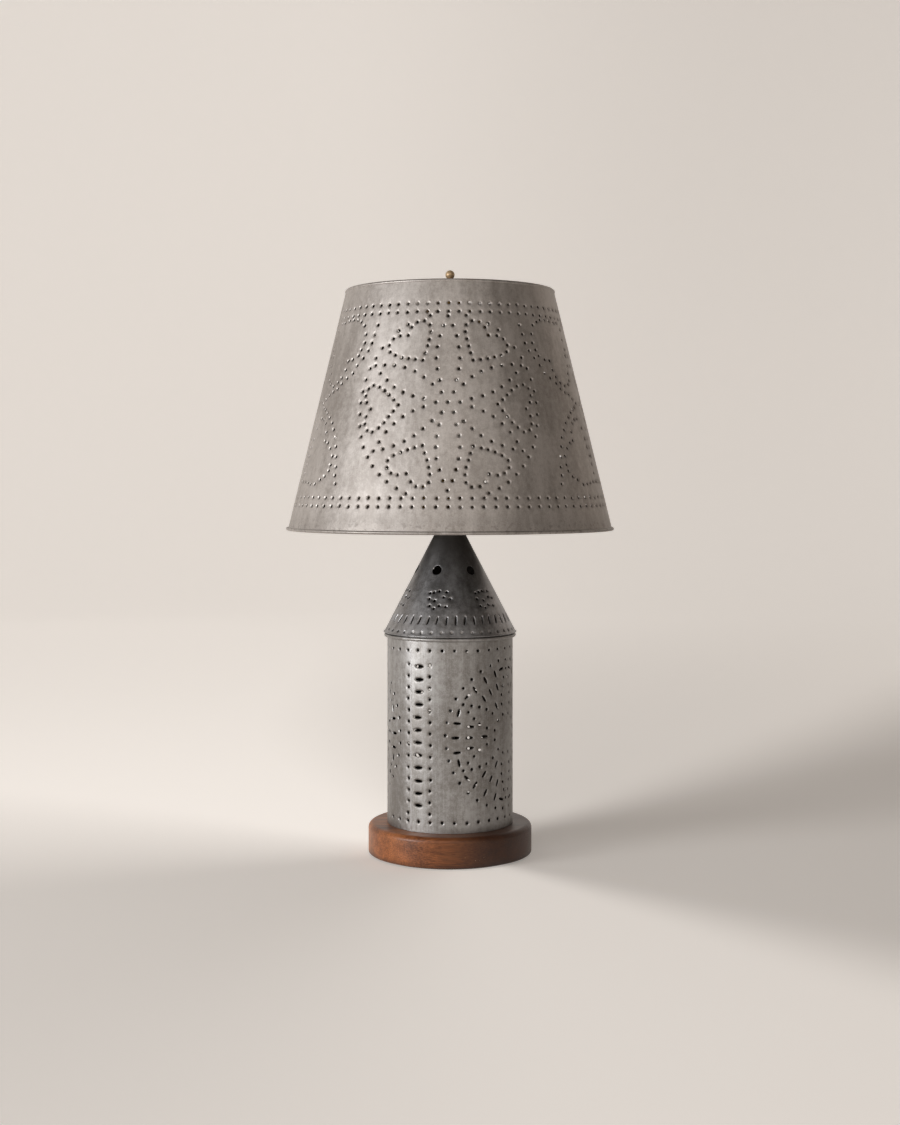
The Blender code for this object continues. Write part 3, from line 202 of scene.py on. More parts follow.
class Material(Tree):
    """A material with a Principled shader and the texture nodes that feed it."""

    def __init__(self, name, **constants):
        self.material = bpy.data.materials.new(name)
        self.material.use_nodes = True
        super().__init__(self.material.node_tree)
        self.shader = self.nodes.nodes["Principled BSDF"]
        self.place = self.add("ShaderNodeTexCoord", output="Object")
        for socket, value in constants.items():
            self.shader.inputs[socket.replace("_", " ")].default_value = value

    def stretched(self, scale):
        return self.add("ShaderNodeMapping", {}, {"Vector": self.place, "Scale": scale})

    def noise(self, scale, detail=4.0, roughness=0.55, where=None):
        """Noise from 0 to 1. The scale is in features a metre."""
        place = where or self.place
        inputs = {"Vector": place, "Scale": scale, "Detail": detail, "Roughness": roughness}
        return self.add("ShaderNodeTexNoise", {}, inputs)

    def spread(self, value, low, high, to_low=0.0, to_high=1.0):
        """The value between low and high, spread smoothly from to_low to to_high and held there."""
        limits = {"From Min": low, "From Max": high, "To Min": to_low, "To Max": to_high}
        settings = {"interpolation_type": "SMOOTHSTEP"}
        return self.add("ShaderNodeMapRange", settings, {"Value": value, **limits})

    def mix(self, share, first, second):
        inputs = {0: share, 6: first, 7: second}
        return self.add("ShaderNodeMix", {"data_type": "RGBA"}, inputs, output=2)

    def bump(self, height, strength, distance):
        inputs = {"Height": height, "Strength": strength, "Distance": distance}
        return self.add("ShaderNodeBump", {}, inputs)

    def feed(self, **sockets):
        for socket, value in sockets.items():
            self.plug(value, self.shader.inputs[socket.replace("_", " ")])
        return self.material


print("a material is a tree with a Principled shader at its end")

# %% [markdown]
# ## Aged tin
#
# Tinned sheet starts bright and dulls to a soft pewter grey. Three things show on this lamp. Broad
# clouds come from years of handling. Fine streaks run from top to bottom, where the sheet was wiped.
# Small dark freckles are the first rust under the tin. The streaks are ordinary noise that is
# stretched along the lamp's axis before it is looked up.


# %% Tin
def aged_tin(name, dull, bright, roughness, freckle, top_shadow=None, hem=None):
    """Tin between two tones, darker above if top_shadow says so, and stained at the height of a hem."""
    tin = Material(name, Metallic=0.9)
    along = tin.stretched((1, 1, 0.035))
    streaks = tin.noise(75, 5, 0.6, along)
    hairs = tin.noise(620, 3, 0.6, along)
    clouds = tin.noise(9, 4, 0.5)
    mottle = tin.noise(70, 5, 0.62)
    blotches = tin.noise(170, 5, 0.7)
    grain = tin.noise(760, 3, 0.7)
    share = clouds * 0.28 + streaks * 0.22 + blotches * 0.26 + grain * 0.16 + hairs * 0.08
    tone = tin.mix(tin.spread(share, 0.40, 0.60), dull, bright)
    specks = tin.spread(tin.noise(260, 3, 0.7), 0.66, 0.78) * tin.spread(clouds, 0.42, 0.62)
    tone = tin.mix(specks * freckle, tone, colour(70, 58, 50))
    height = tin.axis(tin.place, "Z")
    surface = mottle * 0.35 + hairs * 0.22 + clouds * 0.3 + blotches * 0.3 + grain * 0.1
    if top_shadow:
        low, high, dark = top_shadow
        uneven = height + (clouds - 0.5) * 0.03
        tone = tin.mix(tin.spread(uneven, low, high), tone, dark)
    if hem:
        near = tin.spread(height + (mottle - 0.5) * 0.012, hem, hem + 0.018, 1.0, 0.0)
        ripples = tin.noise(55, 2, 0.5, tin.stretched((1, 1, 0.5)))
        tone = tin.mix(near * tin.spread(blotches, 0.48, 0.62) * 0.45, tone, colour(96, 88, 80))
        surface = surface + near * ripples * 2.2
    rough = roughness + (mottle - 0.5) * 0.2 + (blotches - 0.5) * 0.22 + (streaks - 0.5) * 0.14
    rough = rough + specks * 0.2
    return tin.feed(Base_Color=tone, Roughness=rough, Normal=tin.bump(surface, 0.3, 0.0012))


SHADE_TIN = aged_tin("shade_tin", colour(156, 150, 145), colour(196, 191, 187), 0.50, 0.3, hem=0.382)
BODY_TIN = aged_tin("body_tin", colour(131, 127, 123), colour(178, 177, 176), 0.48, 0.3)
ROOF_SHADOW = (0.300, 0.385, colour(142, 139, 137))
roof_tones = (colour(126, 124, 123), colour(182, 182, 184))
ROOF_TIN = aged_tin("roof_look_tin", *roof_tones, 0.42, 0.5, top_shadow=ROOF_SHADOW)
# The inside is the same tin painted much darker: painted shade, which keeps the holes dark.
PAINTED_SHADE_TIN = aged_tin("inside_tin", colour(60, 55, 50), colour(88, 82, 76), 0.6, 0.6)
print("tin:", [m.name for m in (SHADE_TIN, BODY_TIN, ROOF_TIN, PAINTED_SHADE_TIN)])

# %% [markdown]
# ## Wood, brass and the quiet materials
#
# The base is turned from one board, so its grain runs straight across the disc and shows as long
# lines on top and as end grain on two sides of the rim. A warm reddish stain darkens the pores, and
# handling has rubbed it light in patches. The brass pieces share one recipe in two tones.


# %% Walnut
def stained_walnut():
    """Grain of one board along X, stained, rubbed light in patches; painted shade at its right and foot.
    """
    wood = Material("stained_walnut", Metallic=0.0)
    board = wood.stretched((0.9, 9.0, 9.0))
    bands = wood.noise(7, 4, 0.55, board)
    fibres = wood.noise(95, 4, 0.6, wood.stretched((0.35, 9.0, 9.0)))
    pores = wood.noise(420, 2, 0.5, wood.stretched((0.12, 3.5, 3.5)))
    worn = wood.noise(26, 5, 0.6)
    # Painted shade: the base grows darker towards its right, away from the window.
    sideways = wood.axis(wood.place, "X")
    darker = wood.spread(sideways + (bands - 0.5) * 0.05, -0.055, 0.052)
    share = bands * 0.5 + fibres * 0.5
    tone = wood.mix(wood.spread(share, 0.30, 0.70), colour(98, 52, 25), colour(204, 124, 70))
    tone = wood.mix(wood.spread(worn, 0.42, 0.80) * 0.3, tone, colour(206, 138, 88))
    # The painted shade on the right, in dark brown.
    tone = wood.mix(darker * 0.88, tone, colour(44, 20, 8))
    # Painted shade along the foot, where the base meets the floor.
    height = wood.axis(wood.place, "Z")
    tone = wood.mix((1 - wood.spread(height, 0.002, 0.009)) * 0.6, tone, colour(40, 22, 12))
    dark_pores = wood.spread(pores, 0.60, 0.72)
    tone = wood.mix(dark_pores * 0.55, tone, colour(40, 20, 14))
    chips = wood.spread(wood.noise(330, 2, 0.5), 0.745, 0.765)
    tone = wood.mix(chips * 0.7, tone, colour(190, 150, 116))
    rough = 0.38 + (worn - 0.5) * 0.2 + dark_pores * 0.15
    surface = fibres * 0.4 - dark_pores * 0.5 + worn * 0.3
    return wood.feed(Base_Color=tone, Roughness=rough, Normal=wood.bump(surface, 0.25, 0.0008))


WALNUT = stained_walnut()


# %% Brass, steel and the rest
def worn_metal(name, clean, tarnished, roughness, amount=0.5, metallic=1.0):
    """A solid metal, tarnished in patches. Amount is how far the patches go."""
    metal = Material(name, Metallic=metallic)
    patches = metal.noise(60, 5, 0.6)
    specks = metal.noise(700, 3, 0.6)
    tone = metal.mix(metal.spread(patches, 0.38, 0.66) * amount, clean, tarnished)
    rough = roughness + (patches - 0.5) * 0.25 + (specks - 0.5) * 0.1
    return metal.feed(Base_Color=tone, Roughness=rough, Normal=metal.bump(specks, 0.08, 0.0002))


def plain_stuff(name, light, dark, roughness, grain=300, height=0.15):
    """Felt, glass, plastic and the like, with a fine grain that is also a slight bump."""
    stuff = Material(name)
    fine = stuff.noise(grain, 4, 0.6)
    broad = stuff.noise(25, 3, 0.5)
    tone = stuff.mix(stuff.spread(fine * 0.5 + broad * 0.5, 0.35, 0.65), dark, light)
    rough = roughness + (fine - 0.5) * 0.15
    return stuff.feed(Base_Color=tone, Roughness=rough, Normal=stuff.bump(fine, height, 0.0006))


LOOKS = {
    "steel": worn_metal("zinc_steel", colour(176, 178, 180), colour(120, 118, 112), 0.36),
    "brass": worn_metal("brass", colour(116, 94, 62), colour(58, 45, 32), 0.45, 0.95),
    "aged_brass": worn_metal("aged_brass", colour(222, 194, 154), colour(170, 138, 103), 0.42, 0.7, 0.4),
    "aluminium": worn_metal("aluminium", colour(206, 208, 210), colour(160, 160, 160), 0.28),
    "phenolic": plain_stuff("black_phenolic", colour(34, 32, 31), colour(20, 19, 18), 0.38),
    "fibre": plain_stuff("fibre_liner", colour(178, 158, 128), colour(140, 120, 94), 0.85, 500),
    "felt": plain_stuff("green_felt", colour(52, 66, 50), colour(34, 46, 34), 0.95, 900, 0.6),
    "frosted_glass": plain_stuff("frosted_bulb", colour(206, 204, 198), colour(192, 190, 183), 0.32, 80),
    "plug": plain_stuff("brown_plug", colour(82, 54, 36), colour(60, 38, 26), 0.42),
    "tin": BODY_TIN,
    "roof_tin": ROOF_TIN,
    "walnut": WALNUT,
}
print("materials:", len(bpy.data.materials))

# %% [markdown]
# ## Copies of the CAD nodes
#
# Several pieces already have the right shape in the CAD model: nuts, screws, the harp's saddle and
# the plug's blades. A CAD mesh is loose triangles. A copy with its doubles merged can be shaded
# smoothly with sharp edges where the angle is steep, and it then stands for the CAD node.


# %% Helpers that make pieces
def piece_from(name, mesh, body, slot_name, *nodes, material=None):
    """A finished object at the origin, on a body and a material slot, in place of any CAD nodes named."""
    piece = placed(name, mesh)
    if material or not mesh.materials:
        mesh.materials.clear()
        mesh.materials.append(material or LOOKS[slot_name])
    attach(piece, body)
    if nodes:
        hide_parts(*nodes)
    return piece


def shade_smooth(mesh, sharp):
    """Smooth shading, with sharp edges where faces meet at more than an angle in degrees."""
    for face in mesh.polygons:
        face.use_smooth = True
    mesh.set_sharp_from_angle(angle=math.radians(sharp))


def finished_mesh(name, shape, sharp=None):
    """A mesh from a finished bmesh, shaded smoothly up to the sharp angle if that is given."""
    mesh = bpy.data.meshes.new(name)
    shape.to_mesh(mesh)
    shape.free()
    if sharp is not None:
        shade_smooth(mesh, sharp)
    return mesh


def smooth_copy(node, sharp=32, material=None, edge=0.0):
    """A merged and smoothly shaded copy of a CAD node, with its edges eased if edge is set."""
    shape = bmesh.new()
    shape.from_mesh(frame["nodes"][node].data)
    bmesh.ops.remove_doubles(shape, verts=shape.verts, dist=1e-6)
    flat = math.radians(1)
    bmesh.ops.dissolve_limit(shape, angle_limit=flat, verts=shape.verts, edges=shape.edges)
    if edge:
        steep = [e for e in shape.edges if e.is_manifold and e.calc_face_angle() > math.radians(50)]
        rounding = {"segments": 2, "profile": 0.6, "affect": "EDGES", "clamp_overlap": True}
        bmesh.ops.bevel(shape, geom=steep, offset=edge * MM, **rounding)
    bmesh.ops.triangulate(shape, faces=[f for f in shape.faces if len(f.verts) > 4])
    name = node + "_look"
    mesh = finished_mesh(name, shape, sharp)
    return piece_from(name, mesh, BODY_OF[node], SLOT_OF[node], node, material=material)


def turned_vertex(shape, radius, angle, height):
    """A vertex at a radius, at an angle round Z from the front, and at a height, in mm."""
    reach = radius * MM
    return shape.verts.new((reach * math.sin(angle), -reach * math.cos(angle), height * MM))


def join_rings(shape, rings, closed=False, capped=False):
    """Faces from each ring of points to the next. A ring of one point is a pole."""
    faces = []
    pairs = list(zip(rings, rings[1:]))
    if closed:
        pairs.append((rings[-1], rings[0]))
    for low, high in pairs:
        steps = max(len(low), len(high))
        for step in range(steps):
            after = (step + 1) % steps
            corners = [low[step % len(low)], low[after % len(low)], high[after % len(high)]]
            corners.append(high[step % len(high)])
            faces.append(shape.faces.new(list(dict.fromkeys(corners))))
    if capped:
        shape.faces.new(list(reversed(rings[0])))
        shape.faces.new(rings[-1])
    return faces


def lathe_mesh(name, profile, steps=96, closed=False, sharp=38):
    """Turns a profile of (radius, height) points in mm about Z. It runs from the bottom up, outside."""
    shape = bmesh.new()
    rings = []
    for radius, height in profile:
        around = 1 if radius < 1e-6 else steps
        angles = [math.tau * step / steps for step in range(around)]
        rings.append([turned_vertex(shape, radius, angle, height) for angle in angles])
    join_rings(shape, rings, closed)
    return finished_mesh(name, shape, sharp)


def arc(centre_radius, centre_height, radius, start, end, spans):
    """Points on a circle in the (radius, height) plane, between two angles in degrees."""
    points = []
    for span in range(spans + 1):
        angle = math.radians(start + (end - start) * span / spans)
        across = centre_radius + radius * math.cos(angle)
        points.append((across, centre_height + radius * math.sin(angle)))
    return points


def smooth_path(points, spans):
    """A Catmull-Rom curve through points, with the end points mirrored outwards."""
    knots = [Vector(p) for p in points]
    knots = [2 * knots[0] - knots[1], *knots, 2 * knots[-1] - knots[-2]]
    path = []
    for a, b, c, d in zip(knots, knots[1:], knots[2:], knots[3:]):
        for span in range(spans):
            t = span / spans
            curved = (2 * a - 5 * b + 4 * c - d) * t**2 + (3 * b - a - 3 * c + d) * t**3
            path.append(0.5 * (2 * b + (c - a) * t + curved))
    return [*path, knots[-2]]


print("helpers: smooth_copy, lathe_mesh, arc, smooth_path")

# %% [markdown]
# ## The cord
#
# A brown twisted lamp cord leaves the back of the base. All of it lies behind the base, where it can't
# be seen from the front: a short lead, a flat coil of eight turns held by a tie, and a tail that ends
# in the plug. Its route is the CAD model's route, point by point.

# %% The cord's route
CORD_RADIUS = 2.6
LAY_LENGTH = 21
COIL_CENTRE = (-33.0, 145.0)
COIL_OUTER = 43.0
COIL_PITCH = 5.8
COIL_TURNS = 4
TAIL_BEND = 22.0
PLUG_TURN = math.radians(160)

LEAD_KNOTS = [
    (0, 103.2, 8), (0.4, 108, 7.7), (2.6, 114, 6.4), (6, 120, 5), (9, 127, 4.2), (10, 134.4, 4),
    (10, 139.5, 4),
]
cord_route = smooth_path(LEAD_KNOTS, 4)
coil_inner = COIL_OUTER - COIL_TURNS * COIL_PITCH
for point_number in range(2 * COIL_TURNS * 24 + 1):
    turn = point_number / 24
    beyond = turn - COIL_TURNS
    climb = min(max(beyond / 0.5 + 0.5, 0), 1)
    reach = coil_inner + COIL_PITCH * abs(beyond)
    cord_route.append(Vector((
        COIL_CENTRE[0] + reach * math.cos(math.tau * turn),
        COIL_CENTRE[1] + reach * math.sin(math.tau * turn),
        4 + COIL_PITCH * (1 - math.cos(math.pi * climb)) / 2,
    )))
leaves_coil = cord_route[-1] + Vector((0, 5.5, 0))
bend_centre = leaves_coil + Vector((TAIL_BEND, 0, 0))
for step in range(13):
    turned = PLUG_TURN * step / 12
    drop = 3.5 * (1 - math.cos(math.pi * step / 12)) / 2
    cord_route.append(
        bend_centre + Vector((-TAIL_BEND * math.cos(turned), TAIL_BEND * math.sin(turned), -drop))
    )
cord_length = sum((b - a).length for a, b in zip(cord_route, cord_route[1:])) * MM
print("cord:", len(cord_route), "points,", round(cord_length, 3), "m")

# %% [markdown]
# Twisted cord is two round strands wound about each other. A tube with a figure-of-eight section that
# turns as it goes along the route gives both strands in one closed mesh. Each ring of the tube is
# turned a little further than the ring before it, and carries a UV that runs along the cord, so the
# braid's weave can follow the strands.


# %% The cord's mesh
def even_route(points, spacing):
    """The same route with points at an even spacing, in mm."""
    places = np.array([tuple(p) for p in points])
    run = np.concatenate([[0], np.cumsum(np.linalg.norm(np.diff(places, axis=0), axis=1))])
    count = int(round(run[-1] / spacing))
    wanted = np.linspace(0, run[-1], count + 1)
    return [Vector([float(np.interp(w, run, places[:, axis])) for axis in range(3)]) for w in wanted]


def twisted_cord(name, route, sides=12):
    """Two strands as one tube along the route, with a UV that runs along it."""
    shape = bmesh.new()
    weave = shape.loops.layers.uv.new("weave")
    travelled = 0.0
    side = Vector((1, 0, 0))
    rings = []
    runs = []
    for number, point in enumerate(route):
        ahead = route[min(number + 1, len(route) - 1)] - route[max(number - 1, 0)]
        ahead.normalize()
        side = (side - ahead * side.dot(ahead)).normalized()
        up = ahead.cross(side)
        if number:
            travelled += (point - route[number - 1]).length
        twist = math.tau * travelled / LAY_LENGTH
        ring = []
        for corner in range(sides):
            angle = math.tau * corner / sides
            waist = 0.80 + 0.20 * abs(math.cos(angle)) ** 0.8
            reach = CORD_RADIUS * waist
            spin = angle + twist
            offset = side * (reach * math.cos(spin)) + up * (reach * math.sin(spin))
            ring.append(shape.verts.new((point + offset) * MM))
        rings.append(ring)
        runs.append(travelled)
    for count, face in enumerate(join_rings(shape, rings, capped=True)):
        face.smooth = True
        number, corner = divmod(count, sides)
        steps = ((0, 0), (1, 0), (1, 1), (0, 1))
        for loop, (across, along) in zip(face.loops, steps):
            loop[weave].uv = ((corner + across) / sides, runs[number + along] / 10)
    return finished_mesh(name, shape)


def braided_cover():
    braid = Material("cord_braid", Roughness=0.72)
    run = braid.add("ShaderNodeUVMap", {"uv_map": "weave"})
    across = braid.axis(run, "X") * 8
    along = braid.axis(run, "Y") * 5
    threads = ((across + along) * math.tau).sine() * ((across - along) * math.tau).sine()
    fuzz = braid.noise(1500, 3, 0.6)
    tone = braid.mix(threads * 0.5 + 0.5, colour(96, 66, 34), colour(172, 132, 78))
    tone = braid.mix(fuzz * 0.35, tone, colour(70, 48, 26))
    return braid.feed(Base_Color=tone, Normal=braid.bump(threads * 0.6 + fuzz, 0.5, 0.0004))


LOOKS["cord"] = braided_cover()
cord_points = even_route(cord_route, 3.0)
cord_mesh = twisted_cord("lamp_cord", cord_points)
cord = piece_from("lamp_cord", cord_mesh, "stand", "cord", "cord_lead", "cord_coil", "cord_tail")
print("cord mesh:", len(cord_mesh.polygons), "faces")

# %% [markdown]
# ## The plug and the tie
#
# The plug is moulded: a ribbed, tapered relief that lets the cord bend gently, a rounded body with
# finger grips, and two brass blades. A soft strap with rounded edges holds the coil together.

# %% Plug, relief and tie
PLUG_AT = cord_route[-1]
PLUG_HEADING = Vector((math.sin(PLUG_TURN), math.cos(PLUG_TURN), 0))


def along_plug(mesh):
    """Turns a mesh made along +Z, in metres, to lie along the plug's heading."""
    turn = Vector((0, 0, 1)).rotation_difference(PLUG_HEADING).to_matrix().to_4x4()
    turn.translation = PLUG_AT * MM
    mesh.transform(turn)
    return mesh


ribs = []
for rib in range(6):
    start = 0.3 + rib * 3.3
    slope = 3.4 + 1.6 * rib / 6
    ribs += [(slope, start), (slope + 0.28, start + 0.5), (slope + 0.28, start + 1.9),
             (slope - 0.45, start + 2.3), (slope - 0.45, start + 3.0)]
relief_profile = [(0, 0.3), *ribs, (5.0, 20.3), (0, 20.3)]
relief_mesh = along_plug(lathe_mesh("plug_relief_ribbed", relief_profile, 32, sharp=50))
plug_pieces = [piece_from("plug_relief_ribbed", relief_mesh, "stand", "plug", "plug_relief")]
for node, bevelled in (("plug_body", 0.0), ("plug_blade_left", 0.3), ("plug_blade_right", 0.3)):
    plug_pieces.append(smooth_copy(node, 30, edge=bevelled))
plug_pieces.append(smooth_copy("cord_tie", 30, edge=0.35))
tuple(cord_route[0] * MM)
print("plug pieces:", [piece.name for piece in plug_pieces])

# %% [markdown]
# ## Light and room
#
# Tin is a mirror that has gone soft. It shows what stands round it as broad upright bands, so the
# places and sizes of light and wall matter more than their strength. A wide soft window at the left
# front gives the bright band on the left of the cylinder and the shade, and a higher one lights the
# roof and the base from above. The lamp stands in a round plaster room, so that it has a plain pale
# ground from every side.


# %% Lights
MIDDLE_HEIGHT = 0.35


def panel_light(name, azimuth, elevation, distance, size, power, tint, spread=180):
    """A rectangle of light, a distance in metres from the lamp's middle, that looks at it."""
    lamp = bpy.data.lights.new(name, "AREA")
    lamp.shape = "RECTANGLE"
    lamp.size, lamp.size_y = size
    lamp.energy = power
    lamp.color = tint
    lamp.spread = math.radians(spread)
    holder = placed(name, lamp)
    holder.visible_camera = False
    around = math.radians(azimuth)
    height = math.radians(elevation)
    level = distance * math.cos(height)
    target = Vector((0, 0, MIDDLE_HEIGHT))
    level_place = (level * math.sin(around), -level * math.cos(around))
    holder.location = target + Vector((*level_place, distance * math.sin(height)))
    holder.rotation_euler = (target - holder.location).to_track_quat("-Z", "Y").to_euler()


panel_light("window", -59, 7, 3.4, (1.6, 1.1), 8.6, (0.985, 0.99, 1.0), 62)
panel_light("window_top", -44, 38, 3.2, (1.1, 0.9), 3.4, (0.985, 0.99, 1.0))
panel_light("room_front", -6, 24, 3.0, (2.2, 1.2), 8.0, (1.0, 0.96, 0.92))
panel_light("room_right", 124, 16, 2.8, (1.2, 1.2), 1.5, (1.0, 0.86, 0.74))

world = bpy.data.worlds.new("studio")
world.use_nodes = True
sky = world.node_tree.nodes["Background"]
sky.inputs["Color"].default_value = (1.0, 0.89, 0.79, 1)
sky.inputs["Strength"].default_value = 0.12
bpy.context.scene.world = world

# %% [markdown]
# The room is one turned sheet, floor and wall together. The lamps light the floor near the object. The
# plaster itself glows a little for the rays that the eye and the tin see, more on the wall than on the
# floor, so the ground stays pale without more light on the object. The wall is dim towards the right,
# where the tin's right flank looks.


# %% Floor and wall
ROOM_RADIUS = 4200.0
WALL_TOP = 3600.0
COVE_RADIUS = 900.0
WALL_GLOW = (0.63, 0.59, 0.55, 1)


def beside(paint, azimuth, outer, inner):
    """A share that is 1 on the side of the room at an azimuth and fades out to 0 round it."""
    around = math.radians(azimuth)
    heading = paint.vector("NORMALIZE", paint.vector("MULTIPLY", paint.place, (1, 1, 0)))
    towards = (math.sin(around), -math.cos(around), 0)
    cosine = paint.vector("DOT_PRODUCT", heading, towards, output="Value")
    return paint.spread(cosine, math.cos(math.radians(outer)), math.cos(math.radians(inner)))


def plaster():
    paint = Material("plaster", Roughness=0.9, Emission_Strength=1.0)
    clouds = paint.noise(1.6, 3, 0.5)
    grain = paint.noise(60, 4, 0.6)
    tone = paint.mix(clouds * 0.5 + grain * 0.1, colour(240, 235, 230), colour(231, 225, 219))
    rays = paint.add("ShaderNodeLightPath").socket.node.outputs
    seen = Value(paint, rays["Is Camera Ray"]) + Value(paint, rays["Is Glossy Ray"])
    seen = seen + Value(paint, rays["Is Transmission Ray"])
    from_lamp = paint.vector("LENGTH", paint.place, output="Value")
    on_wall = paint.spread(from_lamp, 0.3, 3.0, 0.5, 1.0)
    on_floor = 1 - paint.spread(from_lamp, 1.4, 3.6)
    glow = paint.spread(from_lamp, 0.3, 3.4, 0.70, 0.97)
    # Painted light: the glow is dim to the right, towards the window and behind on the right.
    glow = glow * (1 - beside(paint, 92, 60, 38) * 0.9 * on_wall)
    glow = glow * (1 - beside(paint, 142, 45, 12) * 0.2 * on_wall)
    glow = glow * (1 - beside(paint, -60, 70, 20) * 0.3)
    # Painted light: the floor glows brighter behind on the left, which the cylinder's lower left
    # reflects.
    glow = glow * (1 + beside(paint, -125, 60, 20) * 0.45 * on_floor)
    return paint.feed(Base_Color=tone, Emission_Color=paint.mix(seen * glow, (0, 0, 0, 1), WALL_GLOW))


def studio_room():
    """A round floor that curves up into a wall all round the lamp, in one sheet."""
    cove = arc(ROOM_RADIUS - COVE_RADIUS, COVE_RADIUS, COVE_RADIUS, 0, -90, 12)
    profile = [(ROOM_RADIUS, WALL_TOP), (ROOM_RADIUS, 2000.0), *cove, (2000.0, 0.0), (900.0, 0.0)]
    room = placed("studio_room", lathe_mesh("studio_room", [*profile, (0, 0.0)], 96, sharp=180))
    room.data.materials.append(plaster())


studio_room()
print("floor and wall in one sheet")

# %% [markdown]
# ## How a punched sheet is made
#
# The maker lays the tin flat on a board and drives a pointed punch through it, mark by mark, before
# the sheet is rolled. Around each hole the tin is pushed down into a small dish. That dish is what
# catches the light, so it must be real geometry.
#
# A regular grid is a poor start, because its edges don't pass round the holes. Here the sheet is
# triangulated from points that already sit in rings round every mark, with a coarse grid between them.
# Delaunay triangulation joins them without slivers. The sheet is then rolled, and a Geometry Nodes
# tree does the punching.


# %% A mark, and the rings of points round it
random.seed(7)
RING_SIDES = 8
VENT_SIDES = 20


def dot(x, y, hole=1.72, reach=3.35, depth=1.0):
    """A round mark: its place, the radius of its hole, the reach and depth of its dish, in mm."""
    round_hole = {"half": 0.0, "turn": 0.0, "taper": 0.0}
    return {"x": x, "y": y, "hole": hole, "reach": reach, "depth": depth, **round_hole}


def slot(x, y, turn, length, hole=0.95, reach=2.6, depth=0.85, taper=0.45):
    """A chisel mark, widest in its middle. Turn is its angle from the level, in degrees."""
    half = length / 2 - hole * (1 - taper)
    drawn_out = {"half": half, "turn": math.radians(turn), "taper": hole * taper}
    return {**dot(x, y, hole, reach, depth), **drawn_out}


def ring_points(mark, radius, offset):
    """Points at one distance from a mark's middle line, in real mm from its centre."""
    half = mark["half"]
    points = []
    if half == 0:
        sides = RING_SIDES if mark["hole"] < 3 else VENT_SIDES
        for side in range(sides):
            angle = math.tau * (side + offset) / sides
            points.append((radius * math.cos(angle), radius * math.sin(angle)))
        return points
    along_side = max(2, round(2 * half / 2.4))
    narrow = radius - mark["taper"]
    for end in (1, -1):
        for cap in range(5):
            angle = math.radians(-90 + 45 * cap)
            points.append((end * (half + narrow * math.cos(angle)), end * narrow * math.sin(angle)))
        for step in range(1, along_side):
            share = 1 - 2 * step / along_side
            points.append((end * half * share, end * (radius - mark["taper"] * share * share)))
    spin = complex(math.cos(mark["turn"]), math.sin(mark["turn"]))
    turned = [complex(*p) * spin for p in points]
    return [(p.real, p.imag) for p in turned]


print("a dot has", RING_SIDES, "points in each ring, a slot", len(ring_points(slot(0, 0, 0, 9), 1, 0)))


# %% [markdown]
# A sheet is described by its radius at every height up its slope. Points are laid out by azimuth and
# by distance up the slope, both in mm. Because a cone's rings shrink towards the top, each ring of
# points is widened there so that it comes out round when the sheet is rolled.


# %% The rolled sheet
PROUD = 0.55


class Sheet:
    """A sheet of tin rolled into a cylinder or a cone, with a lap where its two ends meet.

    Low and high are the (radius, height) of its two edges in mm. In degrees, seam is the azimuth of the
    outer end, lap is how far the inner end runs on under it, and ease is the turn in which the outer
    end comes down. Bending by hand leaves soft upright facets, facet_depth mm deep.
    """

    def __init__(self, name, low, high, seam, lap, ease, facets=14, facet_depth=0.0):
        self.name = name
        self.low = low
        self.high = high
        self.slope = math.dist(low, high)
        self.middle = (low[0] + high[0]) / 2
        self.seam = seam
        self.lap = lap
        self.ease = ease
        self.facets = facets
        self.facet_depth = facet_depth
        self.marks = []

    def radius(self, up):
        return self.low[0] + (self.high[0] - self.low[0]) * up / self.slope

    def unroll(self, azimuth):
        return math.radians(azimuth) * self.middle

    def up(self, height):
        return (height - self.low[1]) / ((self.high[1] - self.low[1]) / self.slope)

    def roll(self, x, up):
        """A flat point's place in mm. The sheet's outer end stands proud over its inner end."""
        azimuth = x / self.middle
        past_seam = math.degrees(azimuth) - self.seam
        share = min(max(1 - past_seam / self.ease, 0), 1)
        radius = self.radius(up) - PROUD + PROUD * share * share * (3 - 2 * share)
        facet = self.facets * (azimuth + 0.044)
        radius += self.facet_depth * (0.25 * math.cos(2 * facet) - math.cos(facet)) * (1 - share)
        height = self.low[1] + (self.high[1] - self.low[1]) * up / self.slope
        return (radius * math.sin(azimuth), -radius * math.cos(azimuth), height)

    def punch(self, mark, clear=4.9):
        """Adds a mark, moved to the sheet's own turn, unless another one is already there."""
        width = math.tau * self.middle
        start = self.unroll(self.seam)
        mark["x"] = start + (mark["x"] - start) % width
        scale = self.radius(mark["y"]) / self.middle
        for other in self.marks:
            if other["half"] or mark["half"]:
                continue
            across = (other["x"] - mark["x"]) * scale
            if math.hypot(across, other["y"] - mark["y"]) < clear:
                return
        mark["depth"] *= random.uniform(0.82, 1.12)
        mark["x"] += random.gauss(0, 0.22)
        mark["y"] += random.gauss(0, 0.22)
        mark["hole"] *= random.uniform(0.9, 1.08)
        self.marks.append(mark)

    def punch_dot(self, azimuth, height, clear, **sizes):
        self.punch(dot(self.unroll(azimuth), self.up(height), **sizes), clear)

    def distance(self, mark, x, y):
        """The distances in mm from points to a mark's middle line, on the sheet itself."""
        scale = self.radius(mark["y"]) / self.middle
        across = (x - mark["x"]) * scale
        up = y - mark["y"]
        cosine = math.cos(mark["turn"])
        sine = math.sin(mark["turn"])
        along = np.clip(across * cosine + up * sine, -mark["half"], mark["half"])
        return np.hypot(across - along * cosine, up - along * sine)


print("a sheet knows its radius, its seam and its marks")


